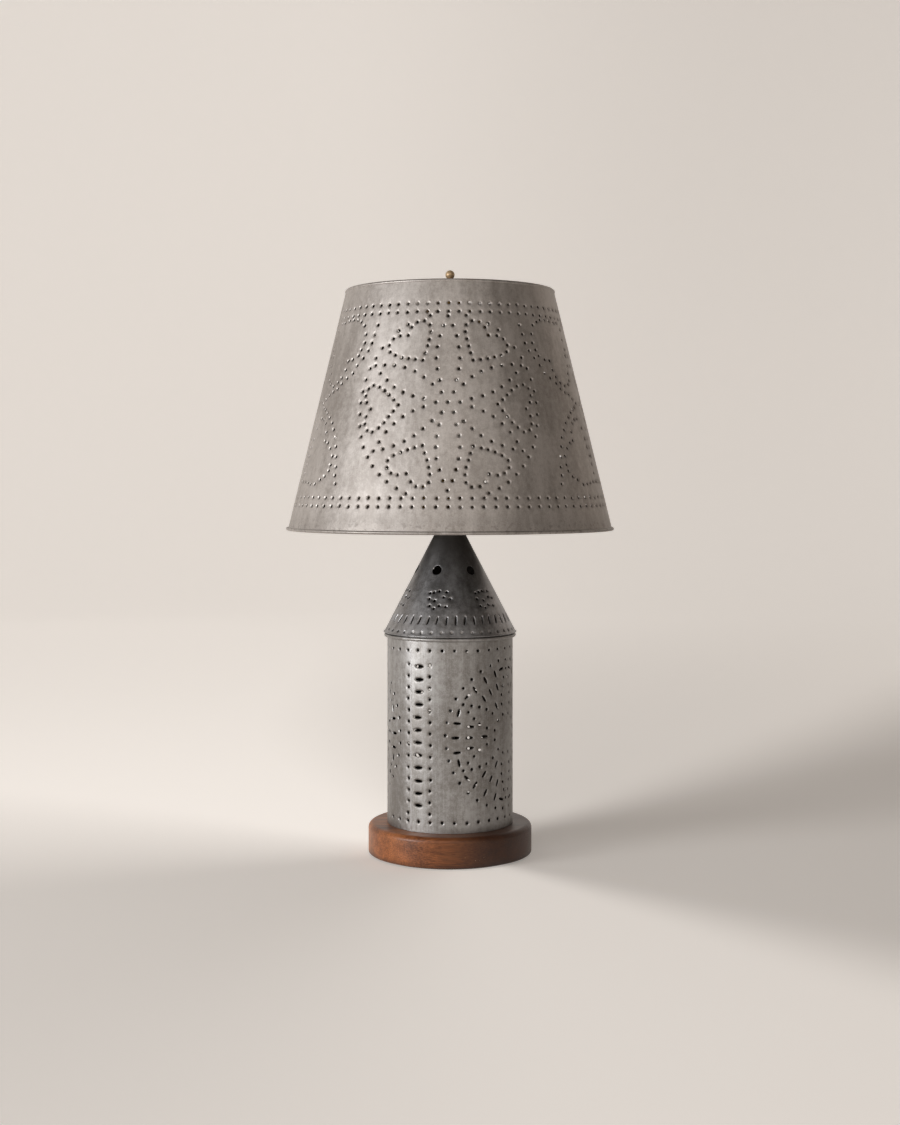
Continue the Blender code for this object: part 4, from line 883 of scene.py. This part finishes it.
# %% Points and triangles
def flat_points(sheet, spacing):
    """All the points of a sheet in its flat plane: its edges, a coarse grid, and rings at each mark."""
    start = sheet.unroll(sheet.seam)
    width = math.tau * sheet.middle + sheet.unroll(sheet.lap)
    rows = max(2, round(sheet.slope / spacing))
    grid = []
    for row in range(rows + 1):
        up = sheet.slope * row / rows
        fine = 0.5 if row in (0, rows) else 1.0
        across = max(24, round(width * sheet.radius(up) / sheet.middle / (spacing * fine)))
        shift = 0.5 if row % 2 and 0 < row < rows else 0.0
        xs = [start + width * (step + shift) / across for step in range(across)]
        xs[0] = start
        xs.append(start + width)
        grid += [(x, up) for x in xs]
    grid = np.array(grid)
    inner = (grid[:, 1] > 0.01) & (grid[:, 1] < sheet.slope - 0.01)
    keep = np.ones(len(grid), bool)
    owners = []
    rings = []
    for number, mark in enumerate(sheet.marks):
        scale = sheet.middle / sheet.radius(mark["y"])
        away = sheet.distance(mark, grid[:, 0], grid[:, 1])
        keep &= (away > mark["reach"] + 1.3) | ~inner
        shoulder = mark["hole"] + (mark["reach"] - mark["hole"]) * 0.5
        for radius, offset in ((mark["hole"], 0), (shoulder, 0.5), (mark["reach"], 0)):
            for across, up in ring_points(mark, radius, offset):
                rings.append((mark["x"] + across * scale, mark["y"] + up, radius))
                owners.append(number)
    rings = np.array(rings)
    owners = np.array(owners)
    margin = 0.8
    fits = (rings[:, 1] > margin) & (rings[:, 1] < sheet.slope - margin)
    fits &= (rings[:, 0] > start + margin) & (rings[:, 0] < start + width - margin)
    for number, mark in enumerate(sheet.marks):
        near = np.abs(rings[:, 1] - mark["y"]) < mark["half"] + mark["reach"] + 4
        near &= owners != number
        picked = np.nonzero(near)[0]
        away = sheet.distance(mark, rings[picked, 0], rings[picked, 1])
        rim = np.array([sheet.marks[o]["hole"] for o in owners[picked]])
        is_rim = np.abs(rings[picked, 2] - rim) < 1e-6
        too_near = away < np.where(is_rim, mark["hole"], rings[picked, 2] * 0.98)
        fits[picked[too_near]] = False
    points = np.concatenate([grid[keep], rings[fits][:, :2]])
    return [Vector((float(x), float(y))) for x, y in points]


def rolled_mesh(sheet, spacing):
    """The sheet's points joined into triangles while flat, then rolled."""
    points = flat_points(sheet, spacing)
    joined = delaunay_2d_cdt(points, [], [], 0, 1e-4)
    places = [Vector(sheet.roll(p.x, p.y)) * MM for p in joined[0]]
    mesh = bpy.data.meshes.new(sheet.name)
    mesh.from_pydata(places, [], [list(face) for face in joined[2]])
    return mesh


EDGE_SIZES = ("hole", "reach", "depth", "taper")


def marks_mesh(sheet):
    """One short edge for each mark, on the rolled sheet, with the mark's sizes as attributes."""
    ends = []
    for mark in sheet.marks:
        scale = sheet.middle / sheet.radius(mark["y"])
        half = max(mark["half"], 0.01)
        for side in (-1, 1):
            x = mark["x"] + side * half * math.cos(mark["turn"]) * scale
            y = mark["y"] + side * half * math.sin(mark["turn"])
            ends.append(Vector(sheet.roll(x, y)) * MM)
    mesh = bpy.data.meshes.new(sheet.name + "_marks")
    edges = [(2 * number, 2 * number + 1) for number in range(len(sheet.marks))]
    mesh.from_pydata(ends, edges, [])
    sizes = {size: [mark[size] * MM for mark in sheet.marks] for size in EDGE_SIZES}
    sizes["half"] = [(a - b).length / 2 for a, b in zip(ends[0::2], ends[1::2])]
    for size, values in sizes.items():
        mesh.attributes.new(size, "FLOAT", "EDGE").data.foreach_set("value", values)
    middles = [(a + b) / 2 for a, b in zip(ends[0::2], ends[1::2])]
    places = mesh.attributes.new("middle", "FLOAT_VECTOR", "EDGE")
    places.data.foreach_set("vector", [value for middle in middles for value in middle])
    return placed(mesh.name, mesh)


print("points in rings, triangles between them")

# %% [markdown]
# ## The punching tree
#
# The tree takes the rolled sheet and a second mesh that holds one short edge for each mark. For every
# point of the sheet it finds the nearest mark and the distance to it. Faces closer than the mark's
# hole are deleted. The points round a hole sink inwards along the sheet's normal, most at its rim. A
# slot's hole and dish narrow towards its ends, as a chisel's cut does.


# %% The tree
def open_group(name, sockets, result):
    """A new group with named inputs and one output, as a tree and the values that it is given."""
    group = bpy.data.node_groups.new(name, "GeometryNodeTree")
    for socket, kind in sockets.items():
        group.interface.new_socket(socket, in_out="INPUT", socket_type="NodeSocket" + kind)
    group.interface.new_socket(result, in_out="OUTPUT", socket_type="NodeSocketGeometry")
    tree = Tree(group)
    given = tree.add("NodeGroupInput").socket.node.outputs
    return tree, {socket: Value(tree, given[socket]) for socket in sockets}


def close_group(tree, geometry, finish):
    """Ends a tree in real geometry with its material set."""
    real = tree.add("GeometryNodeRealizeInstances", {}, (geometry,))
    ended = tree.add("GeometryNodeSetMaterial", {}, {"Geometry": real, "Material": finish})
    tree.add("NodeGroupOutput", {}, (ended,))
    return tree.nodes


def punching_tree():
    sockets = {"Sheet": "Geometry", "Marks": "Object", "Dish shape": "Float", "Tin": "Material"}
    tree, given = open_group("punch", sockets, "Punched")
    sheet = given["Sheet"]
    marks = tree.add("GeometryNodeObjectInfo", {}, {"Object": given["Marks"]}, "Geometry")
    nearest = tree.add("GeometryNodeSampleNearest", {"domain": "EDGE"}, {"Geometry": marks}, "Index")
    away = tree.add("GeometryNodeProximity", {"target_element": "EDGES"}, {0: marks}, "Distance")
    on_line = Value(tree, away.socket.node.outputs["Position"])

    def size_of(name, kind="FLOAT"):
        settings = {"data_type": kind}
        value = tree.add("GeometryNodeInputNamedAttribute", settings, {"Name": name}, "Attribute")
        picked = {"data_type": kind, "domain": "EDGE"}
        links = {"Geometry": marks, "Value": value, "Index": nearest}
        return tree.add("GeometryNodeSampleIndex", picked, links, "Value")

    from_middle = tree.vector("DISTANCE", on_line, size_of("middle", "FLOAT_VECTOR"), output="Value")
    narrowed = size_of("taper") * (from_middle / size_of("half")) ** 2
    hole = size_of("hole") - narrowed
    reach = size_of("reach") - narrowed
    inside = away < hole * 0.97
    settings = {"domain": "FACE", "mode": "ALL"}
    opened = tree.add("GeometryNodeDeleteGeometry", settings, {"Geometry": sheet, "Selection": inside})
    held = {"operation": "DIVIDE", "use_clamp": True}
    share = tree.add("ShaderNodeMath", held, (reach - away, reach - hole))
    sink = size_of("depth") * share ** given["Dish shape"]
    pushed = {"Vector": tree.add("GeometryNodeInputNormal"), "Scale": sink * -1}
    push = tree.add("ShaderNodeVectorMath", {"operation": "SCALE"}, pushed)
    dished = tree.add("GeometryNodeSetPosition", {}, {"Geometry": opened, "Offset": push})
    return close_group(tree, dished, given["Tin"])


PUNCH = punching_tree()
DISH_SHAPE = 1.5
TIN_THICKNESS = 0.5


def settle(holder, name):
    """Turns the evaluated object into a plain mesh and removes the object that made it."""
    graph = bpy.context.evaluated_depsgraph_get()
    mesh = bpy.data.meshes.new_from_object(holder.evaluated_get(graph))
    mesh.name = name
    bpy.data.objects.remove(holder, do_unlink=True)
    return mesh


def set_inputs(modifier, **values):
    """Sets a Geometry Nodes modifier's inputs by the identifiers of its sockets."""
    for item in modifier.node_group.interface.items_tree:
        wanted = item.name.replace(" ", "_")
        if item.in_out == "INPUT" and wanted in values:
            modifier[item.identifier] = values[wanted]


def flat_between_marks(mesh):
    """Gives large flat faces the say over the shading where they meet a dish, as rolled tin has."""
    holder = placed(mesh.name, mesh)
    weighing = holder.modifiers.new("weighing", "WEIGHTED_NORMAL")
    weighing.mode = "FACE_AREA"
    weighing.weight = 50
    weighing.keep_sharp = True
    return settle(holder, mesh.name)


def punched_piece(sheet, spacing, tin, body, slot_name, node):
    """Rolls, punches and thickens a sheet. Its inner side gets darker tin, painted shade inside the lamp.
    """
    marks = marks_mesh(sheet)
    holder = placed(sheet.name, rolled_mesh(sheet, spacing))
    punch = holder.modifiers.new("punch", "NODES")
    punch.node_group = PUNCH
    set_inputs(punch, Marks=marks, Dish_shape=DISH_SHAPE, Tin=tin)
    thick = holder.modifiers.new("thickness", "SOLIDIFY")
    thick.thickness = TIN_THICKNESS * MM
    thick.offset = -1
    done = settle(holder, sheet.name)
    bpy.data.objects.remove(marks, do_unlink=True)
    done.materials.clear()
    done.materials.append(tin)
    done.materials.append(PAINTED_SHADE_TIN)
    # Faces that look inwards get the darker tin, as painted shade.
    for face in done.polygons:
        outward = Vector((face.center.x, face.center.y, 0)).normalized()
        face.material_index = 1 if face.normal.dot(outward) < -0.3 else 0
    shade_smooth(done, 42)
    done = flat_between_marks(done)
    piece_from(sheet.name, done, body, slot_name, node)
    done.calc_loop_triangles()
    used = sorted({face.material_index for face in done.polygons})
    print(sheet.name, len(sheet.marks), "marks,", len(done.loop_triangles), "triangles, slots", used)


print("the punching tree has", len(PUNCH.nodes), "nodes")

# %% [markdown]
# ## The shade's pattern
#
# Five large figures stand round the shade, a fifth of a turn apart. Three are wheels of six hearts
# with pointed petals between them. Two are open crosses with a round form in each arm. Two double rows
# of dots run above and below. The maker drew the figures on the flat sheet, so they are laid out here
# on the cone's flat pattern too, and bend with it when the sheet is rolled.

# %% Rows and figures on the flat cone
shade = Sheet(
    "punched_shade", (189.2, 375.8), (121.4, 654.2), seam=-183.0, lap=2.4, ease=8.0, facets=22,
    facet_depth=0.12,
)
CONE_SINE = (shade.low[0] - shade.high[0]) / shade.slope
FLAT_RADIUS = shade.low[0] / CONE_SINE


def on_cone(azimuth, up, x, y):
    """A point x to the right of a figure's centre and y above it, as azimuth and height up the slope."""
    reach = FLAT_RADIUS - up
    turn = math.atan2(x, reach - y)
    return azimuth + math.degrees(turn / CONE_SINE), FLAT_RADIUS - math.hypot(x, reach - y)


def punch_figure(azimuth, up, points):
    """Punches a figure's dots into the shade, where they stay between its rows."""
    for x, y in points:
        where, height = on_cone(azimuth, up, x, y)
        if 44 < height < 246:
            shade.punch(dot(shade.unroll(where), height))


def turned_point(along, across, degrees):
    """A point given along and across a line through the centre that leans by some degrees."""
    angle = math.radians(degrees)
    x = along * math.cos(angle) - across * math.sin(angle)
    return x, along * math.sin(angle) + across * math.cos(angle)


for height, count in ((258.5, 70), (249.0, 70), (40.0, 88), (30.5, 88)):
    for step in range(count):
        azimuth = -180.6 + 360 * step / count
        shade.punch(dot(shade.unroll(azimuth), height))
print("rows:", len(shade.marks), "dots")

# %% [markdown]
# A heart is half an outline and its mirror image. Six hearts point to the wheel's centre, and six
# petals fill the spaces between them. Each petal is a pair of curved lines of dots that start from a
# shared dot near the centre and meet in a tip.

# %% Wheels of hearts
HALF_HEART = [
    (61.0, 6.5), (66.5, 12.4), (72.2, 18.2), (78.8, 23.6), (86.6, 26.8), (93.8, 23.8), (97.0, 16.2),
    (95.6, 8.0),
]
PETAL_REACH = (25, 37.5, 50, 62.5, 75, 87)


def heart_wheel():
    """Six hearts, six petals between them and the ring of dots round them, from the wheel's centre."""
    points = [(0.0, 0.0)]
    petal_side = [(reach, 13 * math.sin(math.pi * reach / 100)) for reach in PETAL_REACH]
    for sixth in range(6):
        heart = 60 * sixth
        points += [turned_point(along, 0, heart) for along in (13, 55.3, 90)]
        for along, across in HALF_HEART:
            points += [turned_point(along, side * across, heart) for side in (1, -1)]
        petal = heart + 30
        points.append(turned_point(98, 0, petal))
        for along, across in petal_side:
            points += [turned_point(along, side * across, petal) for side in (1, -1)]
    for step in range(50):
        x, y = turned_point(105, 0, 7.2 * step)
        points.append((x, y - 4))
    return points


WHEEL = heart_wheel()
for azimuth in (-0.8, 143.2, -144.8):
    punch_figure(azimuth, 146, WHEEL)
print("a wheel has up to", len(WHEEL), "dots; the shade has", len(shade.marks))

# %% Open crosses
ARM_ABOVE = [
    (-83.7, 94), (-83, 83), (-82, 73), (-79.5, 64), (-74.6, 55), (-68, 46), (-64, 37), (-55.5, 30.5),
    (-47, 24), (-41, 18), (-32, 14), (-24, 10.5), (-16, 6), (-8, 1),
]
ARM_BELOW = [
    (-16, -4), (-22, -6.6), (-30, -10), (-39, -15), (-47.5, -21), (-54, -29), (-62, -37), (-67, -47),
    (-72.5, -58), (-77, -69), (-79, -79), (-83, -88),
]
ROUND_ABOVE = [
    (-29, 21), (-38, 25), (-44, 31), (-48, 40), (-49, 50), (-57, 52), (-66, 57), (-68.5, 64),
    (-71, 72), (-69, 82), (-63, 92), (-55, 96), (-48, 98), (-39, 98), (-30, 97), (-18, 95), (-9, 95),
    (-2, 88), (-2, 76), (-2, 65), (-5, 57), (-5, 45), (-10, 36), (-12, 28), (-18, 23),
]
ROUND_BELOW = [
    (-17, -17), (-25, -17.5), (-32, -22), (-40, -32), (-42, -42), (-49, -44), (-57, -50), (-65, -58),
    (-66, -68), (-65, -75), (-59.5, -82), (-52, -86), (-42, -92), (-31, -92), (-22, -91), (-12, -90),
    (-3, -90), (-2, -80), (-2, -70), (-3, -60), (-5, -50), (-6, -40), (-8, -28),
]
for azimuth in (71.2, -72.8):
    for line in (ARM_ABOVE, ARM_BELOW, ROUND_ABOVE, ROUND_BELOW):
        punch_figure(azimuth, 148, line)
        punch_figure(azimuth, 148, [(-x, y) for x, y in line])
print("the shade has", len(shade.marks), "dots")

# %% Punch the shade
punched_piece(shade, 9.5, SHADE_TIN, "shade", "tin", "shade_shell")

# %% [markdown]
# ## The shade's rolled edges
#
# Both edges of the shade are rolled round a wire, which makes them stiff and safe to touch. From the
# outside each reads as a thin round bead. A small tree sweeps a circle along a circle to make both.


# %% A tree for a ring
def ring_tree():
    sizes = dict.fromkeys(("Ring radius", "Roll radius", "Height"), "Float")
    sockets = {"Start": "Geometry", **sizes, "Finish": "Material"}
    tree, given = open_group("edge_ring", sockets, "Ring")
    circles = []
    for points, radius in ((192, "Ring radius"), (14, "Roll radius")):
        inputs = {"Resolution": points, "Radius": given[radius]}
        circles.append(tree.add("GeometryNodeCurvePrimitiveCircle", {"mode": "RADIUS"}, inputs))
    swept = tree.add("GeometryNodeCurveToMesh", {}, {"Curve": circles[0], "Profile Curve": circles[1]})
    lift = tree.add("ShaderNodeCombineXYZ", {}, {"Z": given["Height"]})
    raised = tree.add("GeometryNodeSetPosition", {}, {"Geometry": swept, "Offset": lift})
    return close_group(tree, raised, given["Finish"])


RING = ring_tree()


def edge_ring(name, radius, roll, height, finish, body, slot_name, *nodes):
    """A rolled edge: a ring of a radius and a height, as thick as twice its roll, all in mm."""
    holder = placed(name, bpy.data.meshes.new(name))
    ring = holder.modifiers.new("ring", "NODES")
    ring.node_group = RING
    sizes = {"Ring_radius": radius * MM, "Roll_radius": roll * MM, "Height": height * MM}
    set_inputs(ring, Finish=finish, **sizes)
    mesh = settle(holder, name)
    shade_smooth(mesh, 60)
    piece_from(name, mesh, body, slot_name, *nodes, material=finish)


edge_ring("shade_lower_edge", 188.65, 1.85, 377.65, SHADE_TIN, "shade", "tin", "shade_bottom_wire")
edge_ring("shade_upper_edge", 120.35, 1.85, 652.2, SHADE_TIN, "shade", "tin", "shade_top_wire")
print("two rolled edges")

# %% [markdown]
# ## The lantern's cylinder
#
# The cylinder has a column of chisel slots between two columns of dots, at the front and again at the
# back, with a large round figure on each side. A row of dots runs round each end. The chisel slots are
# the same marks as the dots, but drawn out along a line.

# %% Rows and columns on the cylinder
CYLINDER_RADIUS = 73.5
BODY_CLEAR = 4.2
cylinder_ends = ((CYLINDER_RADIUS, 36.5), (CYLINDER_RADIUS, 263.5))
body = Sheet("punched_cylinder", *cylinder_ends, seam=-36.5, lap=3.5, ease=14.0, facet_depth=0.17)
for height in (241.5, 48.0):
    for step in range(32):
        body.punch_dot(-41 + 11.25 * step, height, BODY_CLEAR, depth=0.9)
for half_turn in (0, 180):
    for step in range(12):
        azimuth = half_turn - 29.3 - 0.12 * step * (1 if step < 8 else -0.5)
        up = body.up(66 + 14.3 * step)
        tilt = random.gauss(0, 2)
        body.punch(slot(body.unroll(azimuth), up, tilt, length=9.6, hole=1.7, reach=3.5, depth=1.1))
    for column in (-40.6, -18.2):
        for step in range(14):
            azimuth = half_turn + column + random.gauss(0, 0.25)
            body.punch_dot(azimuth, 57.5 + 12.9 * step, BODY_CLEAR)
print("rows and columns:", len(body.marks), "marks")

# %% [markdown]
# The round figure is a ring of dots with six petals inside. Short chisel marks fan out along each
# petal's middle line, and two marks lie across it near its tip.

# %% Round figures on the cylinder's sides
PETAL_SIDE = [(22, 5.5), (34, 9), (44, 14.5), (51, 21), (58, 28.5)]
FAN = [(38, 0, 0), (57, 0, 0), (57, 12, 12), (57, -12, -12), (73, 0, 0), (73, 13, 13), (73, -13, -13)]
FIGURE_HEIGHT = 144


def punch_side(centre, along, across, degrees, tilt=None):
    """One mark of a figure, by its place from the figure's centre. With a tilt it is a chisel mark."""
    x, y = turned_point(along, across, degrees)
    x += body.unroll(centre)
    y += body.up(FIGURE_HEIGHT)
    if tilt is None:
        body.punch(dot(x, y), BODY_CLEAR)
    else:
        body.punch(slot(x, y, tilt, length=8.8, hole=1.5, reach=2.9, depth=0.85, taper=0.3))


for centre in (62.0, -118.0):
    for step in range(37):
        punch_side(centre, 85, 0, 3 + 360 / 37 * step)
    for sixth in range(6):
        axis = 60 * sixth
        for reach, turn, tilt in FAN:
            punch_side(centre, reach, 0, axis + turn, axis + tilt * 0.4)
        for turn in (-22, 22):
            punch_side(centre, 75, 0, axis + turn, axis + turn * 0.6 + 90)
        punch_side(centre, 74, 0, axis + 30)
        for along, across in PETAL_SIDE:
            for side in (-1, 1):
                punch_side(centre, along, side * across, axis)
punched_piece(body, 6.0, BODY_TIN, "stand", "tin", "lantern_body")

# %% [markdown]
# The cylinder's two ends lap at the left of the front and are soldered. The solder stands up as a thin
# bright ridge that runs the whole height. It is a small uneven section drawn up along the seam.


# %% The soldered seam
SOLDER_SECTION = [
    (-1.25, -0.45), (-0.95, 0.0), (-0.45, 0.42), (0.1, 0.5), (0.6, 0.3), (0.95, -0.02), (1.0, -0.45),
]


def solder_ridge():
    """The solder's section drawn up the seam, fatter in some places than in others."""
    shape = bmesh.new()
    rows = []
    for step in range(61):
        height = 37.5 + 214.0 * step / 60
        swell = 1 + 0.22 * math.sin(step * 0.9) * math.sin(step * 0.37 + 1)
        row = []
        for across, out in SOLDER_SECTION:
            azimuth = math.radians(-36.9) + across * swell / CYLINDER_RADIUS
            radius = CYLINDER_RADIUS - 0.15 + out * (swell if out > 0 else 1)
            row.append(turned_vertex(shape, radius, azimuth, height))
        rows.append(row)
    join_rings(shape, rows, capped=True)
    return finished_mesh("seam_solder", shape, 60)


SOLDER = worn_metal("solder", colour(206, 206, 208), colour(160, 158, 156), 0.32)
piece_from("seam_solder", solder_ridge(), "stand", "tin", material=SOLDER)
print("solder along the seam")

# %% [markdown]
# ## The roof
#
# The cone on top repeats the old candle lantern's roof. It has a row of dots at the brim, a ring of
# slots that lean with the slope, six clusters of twelve dots, and six round vents for the heat.

# %% Marks on the roof
roof = Sheet("punched_roof", (77.65, 257.2), (11.0, 385.5), seam=-180.0, lap=4.0, ease=14.0)
CLUSTER = [
    (-26, 305), (-21, 306.5), (-14, 307.5), (-4, 307), (-26, 299), (-18, 297), (-7.5, 300.5), (0, 299),
    (-23.5, 291), (-18, 288.5), (-12, 291.5), (-4.5, 290.5),
]
for step in range(40):
    roof.punch_dot(-178.5 + 9 * step, 262.0, 3.0, hole=1.75, reach=2.8, depth=0.55)
    lean = 90 - random.uniform(0, 20)
    length = random.uniform(9, 11)
    roof.punch(slot(roof.unroll(-174.5 + 9 * step), roof.up(275.5), lean, length, reach=2.4))
for sixth in range(6):
    for azimuth, height in CLUSTER:
        roof.punch_dot(azimuth + 60 * sixth, height, 3.0, hole=1.6, reach=2.65, depth=0.8)
    roof.punch_dot(-22.5 + 60 * sixth, 330.4, 0, hole=5.75, reach=6.6, depth=0.2)
punched_piece(roof, 6.0, ROOF_TIN, "stand", "roof_tin", "lantern_roof")

# %% [markdown]
# ## Turned pieces
#
# Everything turned on a lathe or spun from sheet is a profile swept round the axis: the base, the bead
# under the roof, the cap, the bulb and the finial. Small radii on every edge matter more than the main
# shape, because a real edge always shows a thin line of light.


# %% The base and its felt
def lathe_piece(name, profile, body_name, slot_name, node, steps=96, closed=False, sharp=38):
    """A turned piece that stands for one CAD node."""
    piece_from(name, lathe_mesh(name, profile, steps, closed, sharp), body_name, slot_name, node)


base_profile = [
    (0, 2.05), (92.6, 2.05), *arc(93.4, 3.6, 1.55, -90, 0, 4), (94.97, 12), (95.0, 22),
    *arc(89.0, 30.2, 6.0, 0, 90, 9), (88.2, 36.2), (60, 36.18), (0, 36.18),
]
lathe_piece("turned_base", base_profile, "stand", "walnut", "wood_base", steps=160, sharp=60)
felt_profile = [(0, 0.05), (87.2, 0.05), (87.9, 0.5), (87.9, 1.3), (87.4, 1.68), (0, 1.68)]
lathe_piece("felt_pad", felt_profile, "stand", "felt", "base_pad")
print("base and felt")

# %% The bead, the roof's cap and the floor pan
bead_profile = [(73.8, 251.9), *arc(74.6, 254.05, 2.15, -90, 90, 12), (73.8, 256.2)]
lathe_piece("roof_bead", bead_profile, "stand", "tin", "lantern_bead", 144, closed=True, sharp=50)
edge_ring("brim_edge", 77.0, 0.62, 257.85, ROOF_TIN, "stand", "roof_tin")
smooth_copy("roof_cap", 30, ROOF_TIN)
# The lantern's floor gets the darker tin too, painted shade inside the lantern.
smooth_copy("lantern_floor", 30, PAINTED_SHADE_TIN)
print("bead, brim, cap and floor")

# %% The finial
FINIAL_FOOT = 647.7
finial_profile = [
    (0, 15.3), (3.4, 15.3), (3.4, 0.0), (7.4, 0.0), *arc(7.2, 0.8, 0.8, -90, 0, 3),
    *arc(7.2, 1.5, 0.8, 0, 75, 3), (6.4, 2.5), (5.7, 3.7), (5.15, 5.6), (5.1, 14.6), (5.3, 15.2),
    *arc(5.3, 17.0, 1.05, -65, 65, 6), (4.0, 18.5), (2.9, 19.4), (2.55, 20.2), (2.75, 20.75),
    *arc(0, 25.6, 5.4, -61, 88, 16), (0, 31.0),
]
finial_profile = [(radius, height + FINIAL_FOOT) for radius, height in finial_profile]
lathe_piece("turned_finial", finial_profile, "finial", "aged_brass", "finial", 40, sharp=45)
print("finial top:", round(finial_profile[-1][1], 1), "mm")

# %% The bulb
THREAD_FOOT = 438.06
GLASS_TOP = 538.06
BALL_RADIUS = 30.0
glass_foot = THREAD_FOOT + 5
neck = [(0, glass_foot), (12.0, glass_foot), (12.0, glass_foot + 12.5)]
FLARE = ((12.6, glass_foot + 15.5, 0), (16.5, 470, 0), (22.5, 487.5, 0), (27.5, 497.5, 0),
         (29.2, 501.2, 0))
flare = [(p.x, p.y) for p in smooth_path(FLARE, 5)]
ball = arc(0, GLASS_TOP - BALL_RADIUS, BALL_RADIUS, -12, 88, 16)
glass_profile = [*neck, FLARE[0][:2], *flare, *ball, (0, GLASS_TOP)]
lathe_piece("bulb_globe", glass_profile, "bulb", "frosted_glass", "bulb_glass", 64, sharp=70)
print("bulb top:", glass_profile[-1][1], "mm")

# %% [markdown]
# ## The bulb's thread and the socket
#
# The bulb's base has a rolled thread. A ridge that climbs as it turns is a lathe profile whose radius
# depends on height and angle together, so it gets its own small loop. The other socket pieces are
# turned or stamped metal whose CAD shapes are right, and need only smooth shading and eased edges.


# %% Thread, socket and fittings
THREAD_RADIUS = 12.95
THREAD_PITCH = 3.6


def thread_radius(up, share):
    """The thread's radius at a height above its foot and a share of a turn."""
    wave = 0.5 + 0.5 * math.cos(math.tau * (up - THREAD_PITCH * share) / THREAD_PITCH)
    inward = 0.75 * wave if 3.0 < up < 16.5 else 0.25
    return 9.8 + (THREAD_RADIUS - 9.8) * min(1.0, up / 2.0) - inward


def threaded_base():
    shape = bmesh.new()
    shares = [step / 48 for step in range(48)]
    rings = []
    for row in range(45):
        up = 19.5 * row / 44
        height = THREAD_FOOT + up
        spots = [(thread_radius(up, share), math.tau * share) for share in shares]
        rings.append([turned_vertex(shape, radius, angle, height) for radius, angle in spots])
    join_rings(shape, rings, capped=True)
    return finished_mesh("bulb_thread", shape, 50)


piece_from("bulb_thread", threaded_base(), "bulb", "aluminium", "bulb_base")
FITTINGS = {
    "bulb_tip": 0.0, "bulb_insulator": 0.0, "socket_cap": 0.0, "socket_shell": 0.0,
    "socket_liner": 0.0, "socket_insulator": 0.0, "screw_shell": 0.0, "centre_contact": 0.0,
    "socket_set_screw": 0.2, "terminal_screw_left": 0.2, "terminal_screw_right": 0.2,
    "switch_key": 0.0, "harp_saddle": 0.35, "harp_sleeve_left": 0.15, "harp_sleeve_right": 0.15,
    "harp_swivel": 0.0, "shade_spider": 0.3, "top_locknut": 0.3, "base_nut": 0.3, "base_washer": 0.2,
    "lamp_pipe": 0.0, "cord_bushing": 0.0,
}
for node, eased in FITTINGS.items():
    smooth_copy(node, 34, edge=eased)
print("fittings:", len(FITTINGS))

# %% [markdown]
# ## The harp
#
# The harp is one bent brass rod. A curve with a round bevel follows the CAD model's wire, and becomes a
# mesh that stands for the CAD node.


# %% The harp's wire and the cord inside the lamp
def rod_mesh(name, points, radius):
    """A round rod along points in mm, as a closed mesh."""
    path = bpy.data.curves.new(name, "CURVE")
    path.dimensions = "3D"
    path.bevel_depth = radius * MM
    path.bevel_resolution = 4
    path.use_fill_caps = True
    spline = path.splines.new("POLY")
    spline.points.add(len(points) - 1)
    for knot, point in zip(spline.points, points):
        knot.co = (*(Vector(point) * MM), 1)
    mesh = settle(placed(name, path), name)
    shade_smooth(mesh, 50)
    return mesh


HARP_FOOT = 404.1
HARP_TOP = 641.15
FOOT_ACROSS = 30.0
WIDEST = 57.0
bow = HARP_FOOT + 30.0
rise = HARP_TOP - bow
shares = ((0.86, 0.20), (1.0, 0.45), (0.88, 0.74), (0.47, 0.94))
bow_knots = [(WIDEST * x, bow + rise * z, 0) for x, z in shares]
side_knots = [(FOOT_ACROSS, bow, 0), *bow_knots, (14.0, HARP_TOP, 0)]
side_path = [(p.x, p.y) for p in smooth_path(side_knots, 8)]
harp_side = [(FOOT_ACROSS, HARP_FOOT), *side_path, (9.0, HARP_TOP)]
harp_points = [(-x, 0, z) for x, z in harp_side] + [(x, 0, z) for x, z in reversed(harp_side)]
piece_from("bent_harp", rod_mesh("bent_harp", harp_points, 1.8), "stand", "brass", "harp")
inner_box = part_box("cord_in_the_lamp")
inner_bend = [(0, y, z + 8.0) for y, z in arc(12.0, 12.0, 12.0, -90, -180, 8)]
inner_points = [(0, 102.9, 8.0), *inner_bend, (0, 0, inner_box[1][2] / MM)]
inner_route = even_route([Vector(p) for p in inner_points], 3.0)
inner_mesh = twisted_cord("cord_inside", inner_route)
piece_from("cord_inside", inner_mesh, "stand", "cord", "cord_in_the_lamp")
print("cord inside:", [round(v, 4) for corner in inner_box for v in corner])
